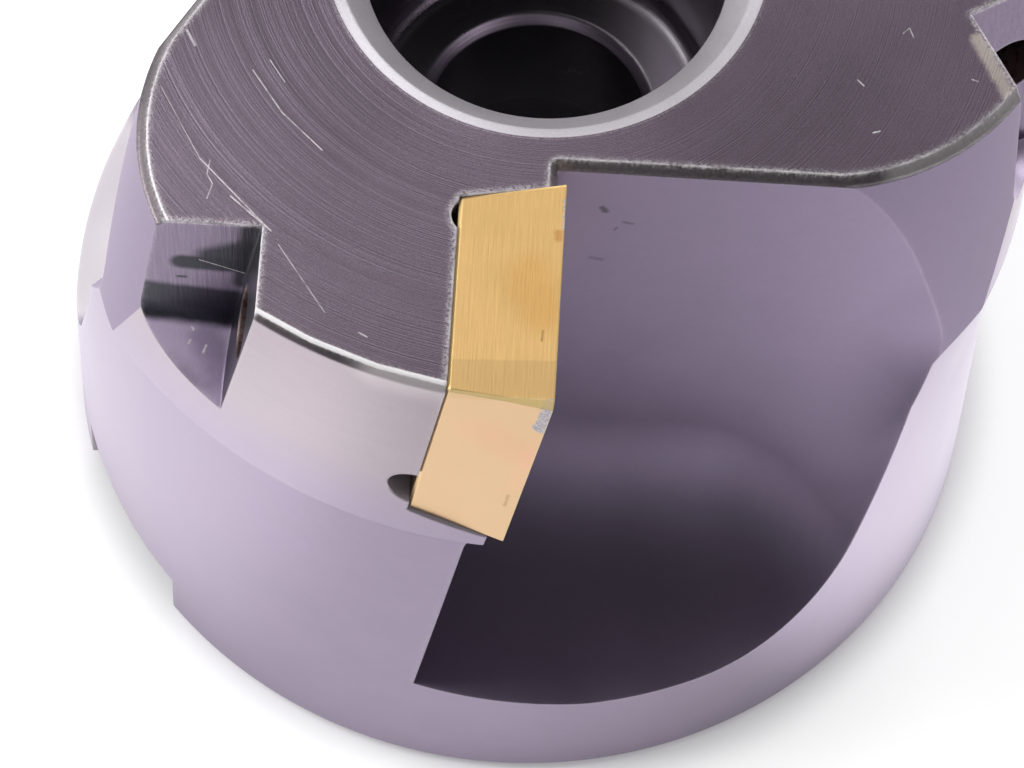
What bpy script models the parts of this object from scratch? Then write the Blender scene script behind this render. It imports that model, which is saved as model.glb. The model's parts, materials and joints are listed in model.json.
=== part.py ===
"""Three-tooth square-shoulder face mill: a steel shell-mill body with indexable inserts and their screws.

The cutter stands on its back face. +Z runs along the spindle axis towards the cutting face, and the
first tooth looks towards -Y. Everything is in metres.
"""

import math

import bmesh
import bpy
from mathutils import Matrix, Vector

MM = 0.001

# Body, turned about the spindle axis
TEETH = 3
HEIGHT = 44.7 * MM
CUT_RADIUS = 24.92 * MM
RIM_STEP = 0.52 * MM
RIDGE_CLEARANCE = 0.05 * MM
RIDGE_DEPTH = 15.4 * MM
NECK_SINK = 0.85 * MM
NECK_RUN = 1.9 * MM
BACK_SINK = 0.4 * MM
RIM_CHAMFER = 0.35 * MM
BACK_CHAMFER = 0.7 * MM
SCREW_STEPS = 96

# Bores, and the drive slot across the back face
MOUTH_RADIUS = 10.7 * MM
MOUTH_ROUND = 0.6 * MM
MOUTH_ROUND_DEPTH = 0.25 * MM
MOUTH_DEPTH = 1.55 * MM
COUNTERBORE_RADIUS = 8.8 * MM
COUNTERBORE_DEPTH = 16.8 * MM
COUNTERBORE_FILLET = 1.0 * MM
HOLE_RADIUS = 5.5 * MM
HOLE_CHAMFER = 0.5 * MM
ARBOR_RADIUS = 11.0 * MM
ARBOR_DEPTH = 20.0 * MM
ARBOR_CHAMFER = 0.6 * MM
SLOT_WIDTH = 10.4 * MM
SLOT_DEPTH = 4.0 * MM
SLOT_ANGLE = math.radians(30.0)

# Insert: the rake face, its clearances and its place on the first tooth
INSERT_WIDTH = 11.65 * MM
INSERT_HEIGHT = 15.2 * MM
INSERT_THICKNESS = 4.85 * MM
SIDE_CLEARANCE = math.radians(9.5)
END_CLEARANCE = math.radians(13.0)
AXIAL_RAKE = math.radians(7.6)
INSERT_PROUD = 0.35 * MM
RAKE_OFFSET = 1.58 * MM
INSERT_EDGE = 0.35 * MM
CORNER_FACET = 0.95 * MM
CORNER_FACET_RUN = 3.0 * MM
LAND_WIDTH = 0.9 * MM
BREAKER_DEPTH = 0.22 * MM
SEAT_GAP = 0.3 * MM

# Insert screw and its threaded hole
SCREW_SHIFT = 0.5 * MM
SHANK_RADIUS = 1.45 * MM
HEAD_RADIUS = 2.6 * MM
HEAD_SINK = 0.55 * MM
HEAD_RIM = 0.5 * MM
HEAD_CONE = 1.5 * MM
SCREW_LENGTH = 11.6 * MM
SCREW_GAP = 0.3 * MM
SOCKET_RADIUS = 1.65 * MM
SOCKET_WAVE = 0.28 * MM
SOCKET_DEPTH = 1.3 * MM
TIP_CHAMFER = 0.4 * MM

# Reliefs in the corners of the pocket
INNER_RELIEF_RADIUS = 0.95 * MM
INNER_RELIEF_SINK = 0.3 * MM
INNER_RELIEF_INSET = 1.1 * MM
LOWER_RELIEF_RADIUS = 1.5 * MM
LOWER_RELIEF_SINK = 1.0 * MM
LOWER_RELIEF_RISE = 2.3 * MM

# Gullet in front of the insert
FLOOR_DISTANCE = 12.2 * MM
GULLET_BALL = 10.0 * MM
GULLET_DEPTH = 36.4 * MM
GULLET_SIDE = 10.0 * MM
GULLET_LEAN = 0.46
GULLET_LEAN_TOP = 8.0 * MM
GULLET_TILT = 4.5 * MM
WALL_TOP_SETBACK = 0.35 * MM
WALL_STEP_SETBACK = 0.85 * MM
WALL_LOW_SETBACK = 1.5 * MM
WALL_STEP_DEPTH = 15.2 * MM
WALL_STEP_RUN = 2.6 * MM
EDGE_CHAMFER = 0.45 * MM

# Heel: the rounded, flared back of the next tooth
HEEL_CENTRE_X = 12.8 * MM
HEEL_CENTRE_Y = -0.5 * MM
HEEL_RADIUS = 11.82 * MM
HEEL_FLARE = 0.148
HEEL_DRIFT_X = -0.08
HEEL_DRIFT_Y = -0.07
HEEL_BELOW_RIDGE = 3.2 * MM
HEEL_LAP = 0.55 * MM
HEEL_END_Y = -3.6 * MM
HEEL_PASS_RISE = 1.7 * MM
HEEL_STEP = 0.03 * MM
HEEL_SEGMENTS = 96

# Notch behind the tooth, where the threaded hole comes out
NOTCH_WALL = 12.41 * MM
NOTCH_TILT = math.radians(9.5)
NOTCH_BACK = 16.3 * MM
NOTCH_DEPTH = 11.75 * MM
NOTCH_FILLET = 3.0 * MM

REACH = 30.0 * MM
OVER = 8.0 * MM

FACE_Z = HEIGHT
RIM_RADIUS = CUT_RADIUS - RIM_STEP
RIDGE_RADIUS = CUT_RADIUS - RIDGE_CLEARANCE
HEEL_DEPTH = RIDGE_DEPTH + HEEL_BELOW_RIDGE
TOOTH_PITCH = 2.0 * math.pi / TEETH
RAKE_SLOPE = math.tan(AXIAL_RAKE)
NOTCH_SLOPE = math.tan(NOTCH_TILT)


def clear_scene():
    """Empties the scene and returns the collections for the parts and for their cutters."""
    for obj in list(bpy.data.objects):
        bpy.data.objects.remove(obj, do_unlink=True)
    parts = bpy.data.collections.new("face_mill")
    cutters = bpy.data.collections.new("cutters")
    for collection in (parts, cutters):
        bpy.context.scene.collection.children.link(collection)
    cutters.hide_render = True
    return parts, cutters


def material(name, colour, roughness, metallic):
    """A plain Principled material."""
    made = bpy.data.materials.new(name)
    made.use_nodes = True
    shader = made.node_tree.nodes["Principled BSDF"]
    shader.inputs["Base Color"].default_value = (*colour, 1.0)
    shader.inputs["Roughness"].default_value = roughness
    shader.inputs["Metallic"].default_value = metallic
    return made


def add_mesh(name, bm, collection):
    """Turns a bmesh into an object in the collection."""
    mesh = bpy.data.meshes.new(name)
    bm.to_mesh(mesh)
    bm.free()
    obj = bpy.data.objects.new(name, mesh)
    collection.objects.link(obj)
    return obj


def add_cutter(name, bm):
    """A cutter: kept out of the render and drawn as wire."""
    bmesh.ops.recalc_face_normals(bm, faces=bm.faces)
    obj = add_mesh(name, bm, CUTTERS)
    obj.hide_render = True
    obj.display_type = "WIRE"
    return obj


def boolean(obj, cutter, operation="DIFFERENCE"):
    """An exact Boolean of the object with the cutter."""
    modifier = obj.modifiers.new(cutter.name, "BOOLEAN")
    modifier.operation = operation
    modifier.solver = "EXACT"
    modifier.object = cutter


def tooth_turn(index):
    """The rotation that carries the first tooth to this one."""
    return Matrix.Rotation(index * TOOTH_PITCH, 4, "Z")


def hull(points):
    """The convex hull of the points, as a bmesh."""
    bm = bmesh.new()
    for point in points:
        bm.verts.new(point)
    result = bmesh.ops.convex_hull(bm, input=bm.verts)
    loose = {v for v in result["geom_interior"] + result["geom_unused"] if isinstance(v, bmesh.types.BMVert)}
    bmesh.ops.delete(bm, geom=list(loose), context="VERTS")
    flat = math.radians(0.05)
    bmesh.ops.dissolve_limit(bm, angle_limit=flat, verts=bm.verts, edges=bm.edges)
    return bm


def prism(outline, place, start, end):
    """A prism on a plane outline, drawn in the place's XY plane and swept along its Z."""
    bm = bmesh.new()
    rings = [[bm.verts.new(place @ Vector((x, y, level))) for x, y in outline] for level in (start, end)]
    bm.faces.new(rings[0])
    bm.faces.new(rings[1])
    count = len(outline)
    for i in range(count):
        j = (i + 1) % count
        bm.faces.new((rings[0][i], rings[0][j], rings[1][j], rings[1][i]))
    return bm


def loft(rings):
    """A closed solid through rings that have the same number of points."""
    bm = bmesh.new()
    rows = [[bm.verts.new(point) for point in ring] for ring in rings]
    bm.faces.new(rows[0])
    bm.faces.new(rows[-1])
    count = len(rows[0])
    for low, high in zip(rows, rows[1:]):
        for i in range(count):
            j = (i + 1) % count
            bm.faces.new((low[i], low[j], high[j], high[i]))
    return bm


def ball(centre, radius, around=36, along=18):
    """Points of a ball whose poles lie along Y, so that one pole touches the gullet floor."""
    points = [Vector((centre.x, centre.y + radius, centre.z)), Vector((centre.x, centre.y - radius, centre.z))]
    for i in range(1, along):
        polar = math.pi * i / along
        for k in range(around):
            turn = 2.0 * math.pi * k / around
            ring = radius * math.sin(polar)
            offset = Vector((ring * math.cos(turn), radius * math.cos(polar), ring * math.sin(turn)))
            points.append(centre + offset)
    return points


def ball_path(corners, floor):
    """The hull of the ball-nosed tool at the corners (x, depth), from a floor at this distance outwards."""
    points = []
    for x, depth in corners:
        centre = Vector((x, -floor - GULLET_BALL, FACE_Z - depth))
        points += ball(centre, GULLET_BALL)
        points += ball(centre + Vector((0.0, -REACH, 0.0)), GULLET_BALL, along=4)
    return hull(points)


def circle_points(centre, radius, count, start=0.0, sweep=2.0 * math.pi):
    """Points of a circle, or of an arc with both its ends when the sweep is shorter."""
    whole = abs(sweep) >= 2.0 * math.pi
    steps = count if whole else count - 1
    return [
        (
            centre[0] + radius * math.cos(start + sweep * k / steps),
            centre[1] + radius * math.sin(start + sweep * k / steps),
        )
        for k in range(count)
    ]


def insert_frame():
    """The first tooth's frame: X outwards along the rake face, Y out of it, Z up it, at its upper outer corner."""
    outwards = Vector((0.0, -1.0, 0.0))
    ahead = Vector((math.cos(AXIAL_RAKE), 0.0, -math.sin(AXIAL_RAKE)))
    up = Vector((math.sin(AXIAL_RAKE), 0.0, math.cos(AXIAL_RAKE)))
    frame = Matrix((outwards, ahead, up)).transposed().to_4x4()
    frame.translation = Vector((RAKE_OFFSET, -CUT_RADIUS, FACE_Z + INSERT_PROUD))
    return frame


def revolve(name, profile, steps, collection):
    """A solid turned about Z from a closed profile of (radius, height)."""
    bm = bmesh.new()
    verts = [bm.verts.new((radius, 0.0, height)) for radius, height in profile]
    for i, vert in enumerate(verts):
        bm.edges.new((vert, verts[(i + 1) % len(verts)]))
    obj = add_mesh(name, bm, collection)
    screw = obj.modifiers.new("turn", "SCREW")
    screw.axis = "Z"
    screw.angle = 2.0 * math.pi
    screw.steps = steps
    screw.render_steps = steps
    screw.use_merge_vertices = True
    screw.merge_threshold = 0.00001
    return obj


def body_profile():
    """The turned section, down the outside, in along the back and up through the bores."""
    ledge = FACE_Z - COUNTERBORE_DEPTH
    back = RIDGE_RADIUS - BACK_SINK
    outside = [(RIM_RADIUS - RIM_CHAMFER, FACE_Z), (RIM_RADIUS, FACE_Z - RIM_CHAMFER)]
    steps = 4
    for k in range(steps + 1):
        down = k / steps
        sink = NECK_SINK * (1.0 - (1.0 - down) ** 2)
        outside.append((RIDGE_RADIUS - sink, FACE_Z - RIDGE_DEPTH - NECK_RUN * down))
    outside += [(back, BACK_CHAMFER), (back - BACK_CHAMFER, 0.0)]
    arbor = [
        (ARBOR_RADIUS + ARBOR_CHAMFER, 0.0),
        (ARBOR_RADIUS, ARBOR_CHAMFER),
        (ARBOR_RADIUS, ARBOR_DEPTH),
        (HOLE_RADIUS, ARBOR_DEPTH),
        (HOLE_RADIUS, ledge - HOLE_CHAMFER),
        (HOLE_RADIUS + HOLE_CHAMFER, ledge),
    ]
    centre = (COUNTERBORE_RADIUS - COUNTERBORE_FILLET, ledge + COUNTERBORE_FILLET)
    fillet = circle_points(centre, COUNTERBORE_FILLET, 5, -0.5 * math.pi, 0.5 * math.pi)
    mouth = [
        (COUNTERBORE_RADIUS, FACE_Z - MOUTH_DEPTH),
        (MOUTH_RADIUS - MOUTH_ROUND, FACE_Z - MOUTH_ROUND_DEPTH),
        (MOUTH_RADIUS, FACE_Z),
    ]
    return outside + arbor + fillet + mouth


def wall_line():
    """The gullet wall beside the insert, as (x, depth) from above the face to below the gullet."""

    def at(depth, setback):
        return RAKE_OFFSET - (depth + INSERT_PROUD) * RAKE_SLOPE - setback, depth

    step_end = WALL_STEP_DEPTH + WALL_STEP_RUN
    mid = 0.5 * (WALL_STEP_SETBACK + WALL_LOW_SETBACK)
    return [
        at(-OVER, WALL_TOP_SETBACK),
        at(0.0, WALL_TOP_SETBACK),
        at(WALL_STEP_DEPTH, WALL_STEP_SETBACK),
        at(WALL_STEP_DEPTH + 0.3 * WALL_STEP_RUN, 0.5 * (WALL_STEP_SETBACK + mid)),
        at(WALL_STEP_DEPTH + 0.6 * WALL_STEP_RUN, 0.5 * (mid + WALL_LOW_SETBACK)),
        at(step_end, WALL_LOW_SETBACK),
        at(HEIGHT, WALL_LOW_SETBACK),
    ]


def gullet_cutter(turn, tag):
    """The chip gullet: a ball-nosed pocket that leans with depth, closed on one side by the insert's wall."""
    low = GULLET_DEPTH - GULLET_BALL
    lean_side = GULLET_SIDE + GULLET_LEAN * (low - GULLET_LEAN_TOP)
    corners = [
        (-REACH, low - GULLET_TILT),
        (0.5 * GULLET_SIDE, low),
        (GULLET_SIDE, low),
        (lean_side, GULLET_LEAN_TOP),
        (lean_side, -OVER),
        (-REACH, -OVER),
    ]
    pocket = ball_path(corners, FLOOR_DISTANCE)
    bmesh.ops.transform(pocket, matrix=turn, verts=pocket.verts)
    cutter = add_cutter(f"gullet_{tag}", pocket)
    wall = wall_line()
    outline = wall + [(2.0 * REACH, HEIGHT), (2.0 * REACH, -OVER)]
    place = Matrix(((1, 0, 0, 0), (0, 0, 1, 0), (0, -1, 0, FACE_Z), (0, 0, 0, 1)))
    side = prism(outline, turn @ place, -FLOOR_DISTANCE + OVER, -FLOOR_DISTANCE - 3.0 * REACH)
    boolean(cutter, add_cutter(f"gullet_wall_{tag}", side), "INTERSECT")
    return cutter


def heel_circle(depth, shrink=0.0):
    """Centre and radius of the heel's cone at a depth below the face."""
    x = HEEL_CENTRE_X + HEEL_DRIFT_X * depth
    y = HEEL_CENTRE_Y + HEEL_DRIFT_Y * depth
    return (x, y), HEEL_RADIUS + HEEL_FLARE * depth - shrink


def heel_cutters(turn, tag):
    """The two cuts that free the back of the next tooth: along the floor plane, and round the flared cone."""
    lowest = RIDGE_DEPTH - HEEL_PASS_RISE
    near = RAKE_OFFSET + GULLET_BALL
    corners = [(near, lowest), (REACH, lowest), (REACH, -OVER), (near, -OVER)]
    floor = ball_path(corners, FLOOR_DISTANCE + HEEL_STEP)
    bmesh.ops.transform(floor, matrix=turn, verts=floor.verts)
    across = add_cutter(f"heel_floor_{tag}", floor)

    top = FACE_Z + OVER
    inner = HEEL_CENTRE_X
    lap = -FLOOR_DISTANCE - HEEL_LAP
    outline = [(inner, lap), (2.0 * REACH, lap), (2.0 * REACH, HEEL_END_Y), (inner, HEEL_END_Y)]
    block = add_cutter(f"heel_cone_{tag}", prism(outline, turn, FACE_Z - HEEL_DEPTH, top))
    rings = []
    for depth in (-OVER - MM, HEEL_DEPTH + MM):
        centre, radius = heel_circle(depth)
        ring = circle_points(centre, radius, HEEL_SEGMENTS)
        rings.append([turn @ Vector((x, y, FACE_Z - depth)) for x, y in ring])
    boolean(block, add_cutter(f"heel_keep_{tag}", loft(rings)))
    return [across, block]


def edge_path():
    """The gullet's edge on the cutting face: (x, y) with the unit vector that points into the steel."""
    wall_x = wall_line()[1][0]
    corner = (wall_x, -FLOOR_DISTANCE)
    path = [((wall_x, -1.6 * REACH), (-1.0, 0.0)), (corner, (-1.0, 0.0))]
    fan = 6
    for k in range(1, fan + 1):
        turn = math.pi - 0.5 * math.pi * k / fan
        path.append((corner, (math.cos(turn), math.sin(turn))))
    (x, y), radius = heel_circle(0.0)
    start = -math.pi + math.acos(-math.sqrt(1.0 - ((-FLOOR_DISTANCE - y) / radius) ** 2))
    end = math.radians(-5.0)
    arc_steps = 20
    for k in range(arc_steps + 1):
        angle = start + (end - start) * k / arc_steps
        point = (x + radius * math.cos(angle), y + radius * math.sin(angle))
        path.append((point, (-math.cos(angle), -math.sin(angle))))
    return path


def edge_cutter(turn, tag):
    """The chamfer along the gullet's edge on the cutting face."""
    path = edge_path()
    soft = 0.05 * MM
    far = [((2.0 * REACH, path[-1][0][1]), (0.0, 1.0)), ((2.0 * REACH, -1.6 * REACH), (0.0, 0.0))]
    rings = []
    for depth, offset in ((-EDGE_CHAMFER, 2.0 * EDGE_CHAMFER), (EDGE_CHAMFER - soft, soft)):
        ring = [(x + i * offset, y + j * offset) for (x, y), (i, j) in path + far]
        rings.append([turn @ Vector((x, y, FACE_Z - depth)) for x, y in ring])
    return add_cutter(f"edge_{tag}", loft(rings))


def pocket_cutter(place, tag):
    """The insert pocket: seat, inner wall and lower wall, each a fit clearance off the insert."""
    rings = []
    for ahead in (-INSERT_THICKNESS - SEAT_GAP, 3.0 * MM):
        inner = -INSERT_WIDTH - SEAT_GAP - ahead * math.tan(SIDE_CLEARANCE)
        lower = -INSERT_HEIGHT - SEAT_GAP - ahead * math.tan(END_CLEARANCE)
        corners = [(inner, lower), (OVER, lower), (OVER, OVER), (inner, OVER)]
        rings.append([place @ Vector((x, ahead, z)) for x, z in corners])
    return add_cutter(f"pocket_{tag}", loft(rings))


def relief_cutters(place, tag):
    """Round reliefs in the seat's inner and lower corners, which keep the insert off them."""
    seat = -INSERT_THICKNESS - SEAT_GAP
    inner = -INSERT_WIDTH + INSERT_THICKNESS * math.tan(SIDE_CLEARANCE) + INNER_RELIEF_INSET - SEAT_GAP
    across = (inner, seat - INNER_RELIEF_SINK + INNER_RELIEF_RADIUS)
    upright = prism(
        circle_points(across, INNER_RELIEF_RADIUS, 24), place, -INSERT_HEIGHT + LOWER_RELIEF_RISE, OVER
    )
    lower = -INSERT_HEIGHT + INSERT_THICKNESS * math.tan(END_CLEARANCE) + LOWER_RELIEF_RISE
    section = (seat - LOWER_RELIEF_SINK + LOWER_RELIEF_RADIUS, lower)
    turn = Matrix(((0, 0, 1, 0), (1, 0, 0, 0), (0, 1, 0, 0), (0, 0, 0, 1)))
    level = prism(
        circle_points(section, LOWER_RELIEF_RADIUS, 24), place @ turn, -INSERT_WIDTH + INNER_RELIEF_INSET, OVER
    )
    return [add_cutter(f"inner_relief_{tag}", upright), add_cutter(f"lower_relief_{tag}", level)]


def notch_cutter(turn, tag):
    """The notch behind the tooth: a flat wall that leans with depth, an upright back and a filleted floor."""
    out_of_wall = Vector((-math.cos(NOTCH_TILT), 0.0, math.sin(NOTCH_TILT)))
    outwards = Vector((0.0, -1.0, 0.0))
    up = Vector((math.sin(NOTCH_TILT), 0.0, math.cos(NOTCH_TILT)))
    frame = Matrix((outwards, up, out_of_wall)).transposed().to_4x4()
    frame.translation = Vector((-NOTCH_WALL, 0.0, FACE_Z))
    centre = (NOTCH_BACK + NOTCH_FILLET, -NOTCH_DEPTH + NOTCH_FILLET)
    arc = circle_points(centre, NOTCH_FILLET, 9, math.pi, 0.5 * math.pi)
    outline = [(NOTCH_BACK, OVER)] + arc + [(REACH, -NOTCH_DEPTH), (REACH, OVER)]
    return add_cutter(f"notch_{tag}", prism(outline, turn @ frame, 0.0, REACH))


def screw_place(place):
    """The screw's frame: Z out of the rake face, at the middle of its height and a little inside its width."""
    turn = Matrix(((1, 0, 0, 0), (0, 0, 1, 0), (0, -1, 0, 0), (0, 0, 0, 1)))
    middle = Matrix.Translation((-0.5 * INSERT_WIDTH - SCREW_SHIFT, 0.0, -0.5 * INSERT_HEIGHT))
    return place @ middle @ turn


def notch_wall_level():
    """Where the screw's axis meets the notch's wall, measured along the axis from the rake face."""
    start = screw_place(insert_frame()).translation
    run = -NOTCH_WALL + NOTCH_SLOPE * (start.z - FACE_Z) - start.x
    return run / (math.cos(AXIAL_RAKE) + NOTCH_SLOPE * math.sin(AXIAL_RAKE))


def threaded_hole_cutter(place, tag):
    """The hole that the insert screw threads into, open at the notch's wall."""
    outline = circle_points((0.0, 0.0), SHANK_RADIUS + SCREW_GAP, 32)
    seat = -INSERT_THICKNESS - SEAT_GAP
    return add_cutter(f"thread_hole_{tag}", prism(outline, screw_place(place), notch_wall_level() - MM, seat + MM))


def slot_cutter():
    """The drive slot across the back face."""
    half = 0.5 * SLOT_WIDTH
    outline = [(-2.0 * REACH, -half), (2.0 * REACH, -half), (2.0 * REACH, half), (-2.0 * REACH, half)]
    place = Matrix.Rotation(SLOT_ANGLE, 4, "Z")
    return add_cutter("drive_slot", prism(outline, place, -OVER, SLOT_DEPTH))


def make_body(steel):
    """The cutter body: the turned blank with every milled cut."""
    body = revolve("cutter_body", body_profile(), SCREW_STEPS, PARTS)
    for index in range(TEETH):
        tag = index + 1
        turn = tooth_turn(index)
        place = turn @ insert_frame()
        boolean(body, gullet_cutter(turn, tag))
        for cutter in heel_cutters(turn, tag):
            boolean(body, cutter)
        boolean(body, edge_cutter(turn, tag))
        boolean(body, notch_cutter(turn, tag))
        boolean(body, pocket_cutter(place, tag))
        for cutter in relief_cutters(place, tag):
            boolean(body, cutter)
        boolean(body, threaded_hole_cutter(place, tag))
    boolean(body, slot_cutter())
    body.data.materials.append(steel)
    return body


def insert_mesh():
    """One insert in its own frame: bevelled corners, a sunk chip breaker and the outer corner's facet."""
    bm = bmesh.new()
    side = INSERT_THICKNESS * math.tan(SIDE_CLEARANCE)
    end = INSERT_THICKNESS * math.tan(END_CLEARANCE)

    def outline(left, right, low, high):
        corner = INSERT_EDGE
        return [
            (left + corner, low),
            (right - corner, low),
            (right, low + corner),
            (right, high - corner),
            (right - corner, high),
            (left + corner, high),
            (left, high - corner),
            (left, low + corner),
        ]

    seat = outline(-INSERT_WIDTH + side, -side, -INSERT_HEIGHT + end, -end)
    rake = outline(-INSERT_WIDTH, 0.0, -INSERT_HEIGHT, 0.0)
    land = LAND_WIDTH
    inner = outline(-INSERT_WIDTH + land, -land, -INSERT_HEIGHT + land, -land)
    floor = outline(-INSERT_WIDTH + 1.5 * land, -1.5 * land, -INSERT_HEIGHT + 1.5 * land, -1.5 * land)
    levels = [
        (seat, -INSERT_THICKNESS),
        (rake, 0.0),
        (inner, -0.25 * BREAKER_DEPTH),
        (floor, -BREAKER_DEPTH),
    ]
    rows = [[bm.verts.new((x, ahead, z)) for x, z in ring] for ring, ahead in levels]
    bm.faces.new(rows[0])
    bm.faces.new(rows[-1])
    for low, high in zip(rows, rows[1:]):
        for i in range(len(low)):
            j = (i + 1) % len(low)
            bm.faces.new((low[i], low[j], high[j], high[i]))
    bmesh.ops.recalc_face_normals(bm, faces=bm.faces)
    return bm


def insert_hole(place, tag):
    """The countersunk hole through the insert."""
    shank = SHANK_RADIUS + SCREW_GAP
    head = HEAD_RADIUS + SCREW_GAP
    cone_top = -HEAD_SINK - HEAD_RIM
    levels = [
        (-INSERT_THICKNESS - MM, shank),
        (cone_top - HEAD_CONE, shank),
        (cone_top, head),
        (MM, head + 0.25 * MM),
    ]
    frame = screw_place(place)
    rings = [
        [frame @ Vector((x, y, level)) for x, y in circle_points((0.0, 0.0), reach, 40)] for level, reach in levels
    ]
    return add_cutter(f"insert_hole_{tag}", loft(rings))


def insert_facet(place, tag):
    """The ground facet across the outer corner, which fades out behind the rake face."""
    near = Vector((0.0, 0.0, -CORNER_FACET))
    far = Vector((-CORNER_FACET, 0.0, 0.0))
    back = Vector(
        (
            -CORNER_FACET_RUN * math.tan(SIDE_CLEARANCE) - 0.4 * INSERT_EDGE,
            -CORNER_FACET_RUN,
            -CORNER_FACET_RUN * math.tan(END_CLEARANCE) - 0.4 * INSERT_EDGE,
        )
    )
    normal = (far - near).cross(back - near).normalized()
    outside = Vector((1.0, 0.0, 1.0))
    if normal.dot(outside) < 0.0:
        normal = -normal
    middle = (near + far + back) / 3.0
    along = (far - near).normalized()
    across = normal.cross(along)
    reach = 4.0 * MM
    corners = [middle + a * reach * along + b * reach * across for a, b in ((-1, -1), (1, -1), (1, 1), (-1, 1))]
    rings = [[place @ corner for corner in corners], [place @ (corner + normal * reach) for corner in corners]]
    return add_cutter(f"facet_{tag}", loft(rings))


def make_insert(index, carbide):
    """One coated insert, seated on its tooth."""
    tag = index + 1
    place = tooth_turn(index) @ insert_frame()
    bm = insert_mesh()
    bmesh.ops.transform(bm, matrix=place, verts=bm.verts)
    insert = add_mesh(f"insert_{tag}", bm, PARTS)
    boolean(insert, insert_facet(place, tag))
    boolean(insert, insert_hole(place, tag))
    insert.data.materials.append(carbide)
    return insert


def make_screw(index, steel):
    """One insert screw: countersunk head with a six-lobed socket, and a plain shank."""
    tag = index + 1
    frame = screw_place(tooth_turn(index) @ insert_frame())
    top = -HEAD_SINK
    cone_top = top - HEAD_RIM
    tip = top - SCREW_LENGTH
    levels = [
        (tip, SHANK_RADIUS - TIP_CHAMFER),
        (tip + TIP_CHAMFER, SHANK_RADIUS),
        (cone_top - HEAD_CONE, SHANK_RADIUS),
        (cone_top, HEAD_RADIUS),
        (top, HEAD_RADIUS),
    ]
    around = 36
    rings = [
        [frame @ Vector((x, y, level)) for x, y in circle_points((0.0, 0.0), reach, around)] for level, reach in levels
    ]
    bm = loft(rings)
    bmesh.ops.recalc_face_normals(bm, faces=bm.faces)
    screw = add_mesh(f"insert_screw_{tag}", bm, PARTS)
    lobes = []
    for k in range(around):
        turn = 2.0 * math.pi * k / around
        reach = SOCKET_RADIUS - SOCKET_WAVE * (0.5 - 0.5 * math.cos(6.0 * turn))
        lobes.append((reach * math.cos(turn), reach * math.sin(turn)))
    boolean(screw, add_cutter(f"socket_{tag}", prism(lobes, frame, top - SOCKET_DEPTH, top + MM)))
    screw.data.materials.append(steel)
    return screw


def shade(obj, angle):
    """Smooth shading with sharp edges over the angle."""
    obj.data.shade_smooth()
    obj.data.set_sharp_from_angle(angle=angle)


PARTS, CUTTERS = clear_scene()
BLACK_STEEL = material("black_oxide_steel", (0.13, 0.11, 0.14), 0.36, 0.85)
GOLD_CARBIDE = material("gold_coated_carbide", (0.85, 0.60, 0.27), 0.26, 0.9)
SCREW_STEEL = material("screw_steel", (0.22, 0.21, 0.22), 0.4, 0.9)

make_body(BLACK_STEEL)
for tooth in range(TEETH):
    make_insert(tooth, GOLD_CARBIDE)
    make_screw(tooth, SCREW_STEEL)
for part in PARTS.objects:
    shade(part, math.radians(25.0))
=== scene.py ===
"""Looks of a three-tooth square-shoulder face mill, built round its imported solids.

The cutter stands on its back face. +Z runs along the spindle axis towards the cutting face, and the
first tooth looks towards -Y. Everything is in metres.
"""

import json
import logging
import math
from dataclasses import dataclass
from enum import Enum

import bmesh
import bpy
import numpy as np
from mathutils import Matrix, Vector

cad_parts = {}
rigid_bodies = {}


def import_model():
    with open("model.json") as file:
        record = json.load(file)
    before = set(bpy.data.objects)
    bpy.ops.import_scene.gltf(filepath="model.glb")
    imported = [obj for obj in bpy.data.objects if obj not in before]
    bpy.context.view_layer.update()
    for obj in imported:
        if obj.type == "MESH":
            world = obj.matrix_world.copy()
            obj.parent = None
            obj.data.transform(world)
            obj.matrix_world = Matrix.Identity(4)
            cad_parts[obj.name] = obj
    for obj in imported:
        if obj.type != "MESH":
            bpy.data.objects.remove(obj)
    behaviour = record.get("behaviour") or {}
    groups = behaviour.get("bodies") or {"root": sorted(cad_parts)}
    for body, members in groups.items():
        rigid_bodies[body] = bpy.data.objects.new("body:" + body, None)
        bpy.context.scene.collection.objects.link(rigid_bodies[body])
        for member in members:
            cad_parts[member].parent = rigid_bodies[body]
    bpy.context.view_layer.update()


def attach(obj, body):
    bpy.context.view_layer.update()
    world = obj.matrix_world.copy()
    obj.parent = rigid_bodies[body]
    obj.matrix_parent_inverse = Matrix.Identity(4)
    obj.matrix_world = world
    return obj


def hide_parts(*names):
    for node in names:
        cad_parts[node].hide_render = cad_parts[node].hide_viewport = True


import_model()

LOG = logging.getLogger("face_mill")
MM = 0.001
FULL_TURN = 2.0 * math.pi
ROOT = "root"

Colour = tuple[float, float, float]
Point2 = tuple[float, float]
Socket = bpy.types.NodeSocket


# Sizes that more than one piece shares


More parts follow.
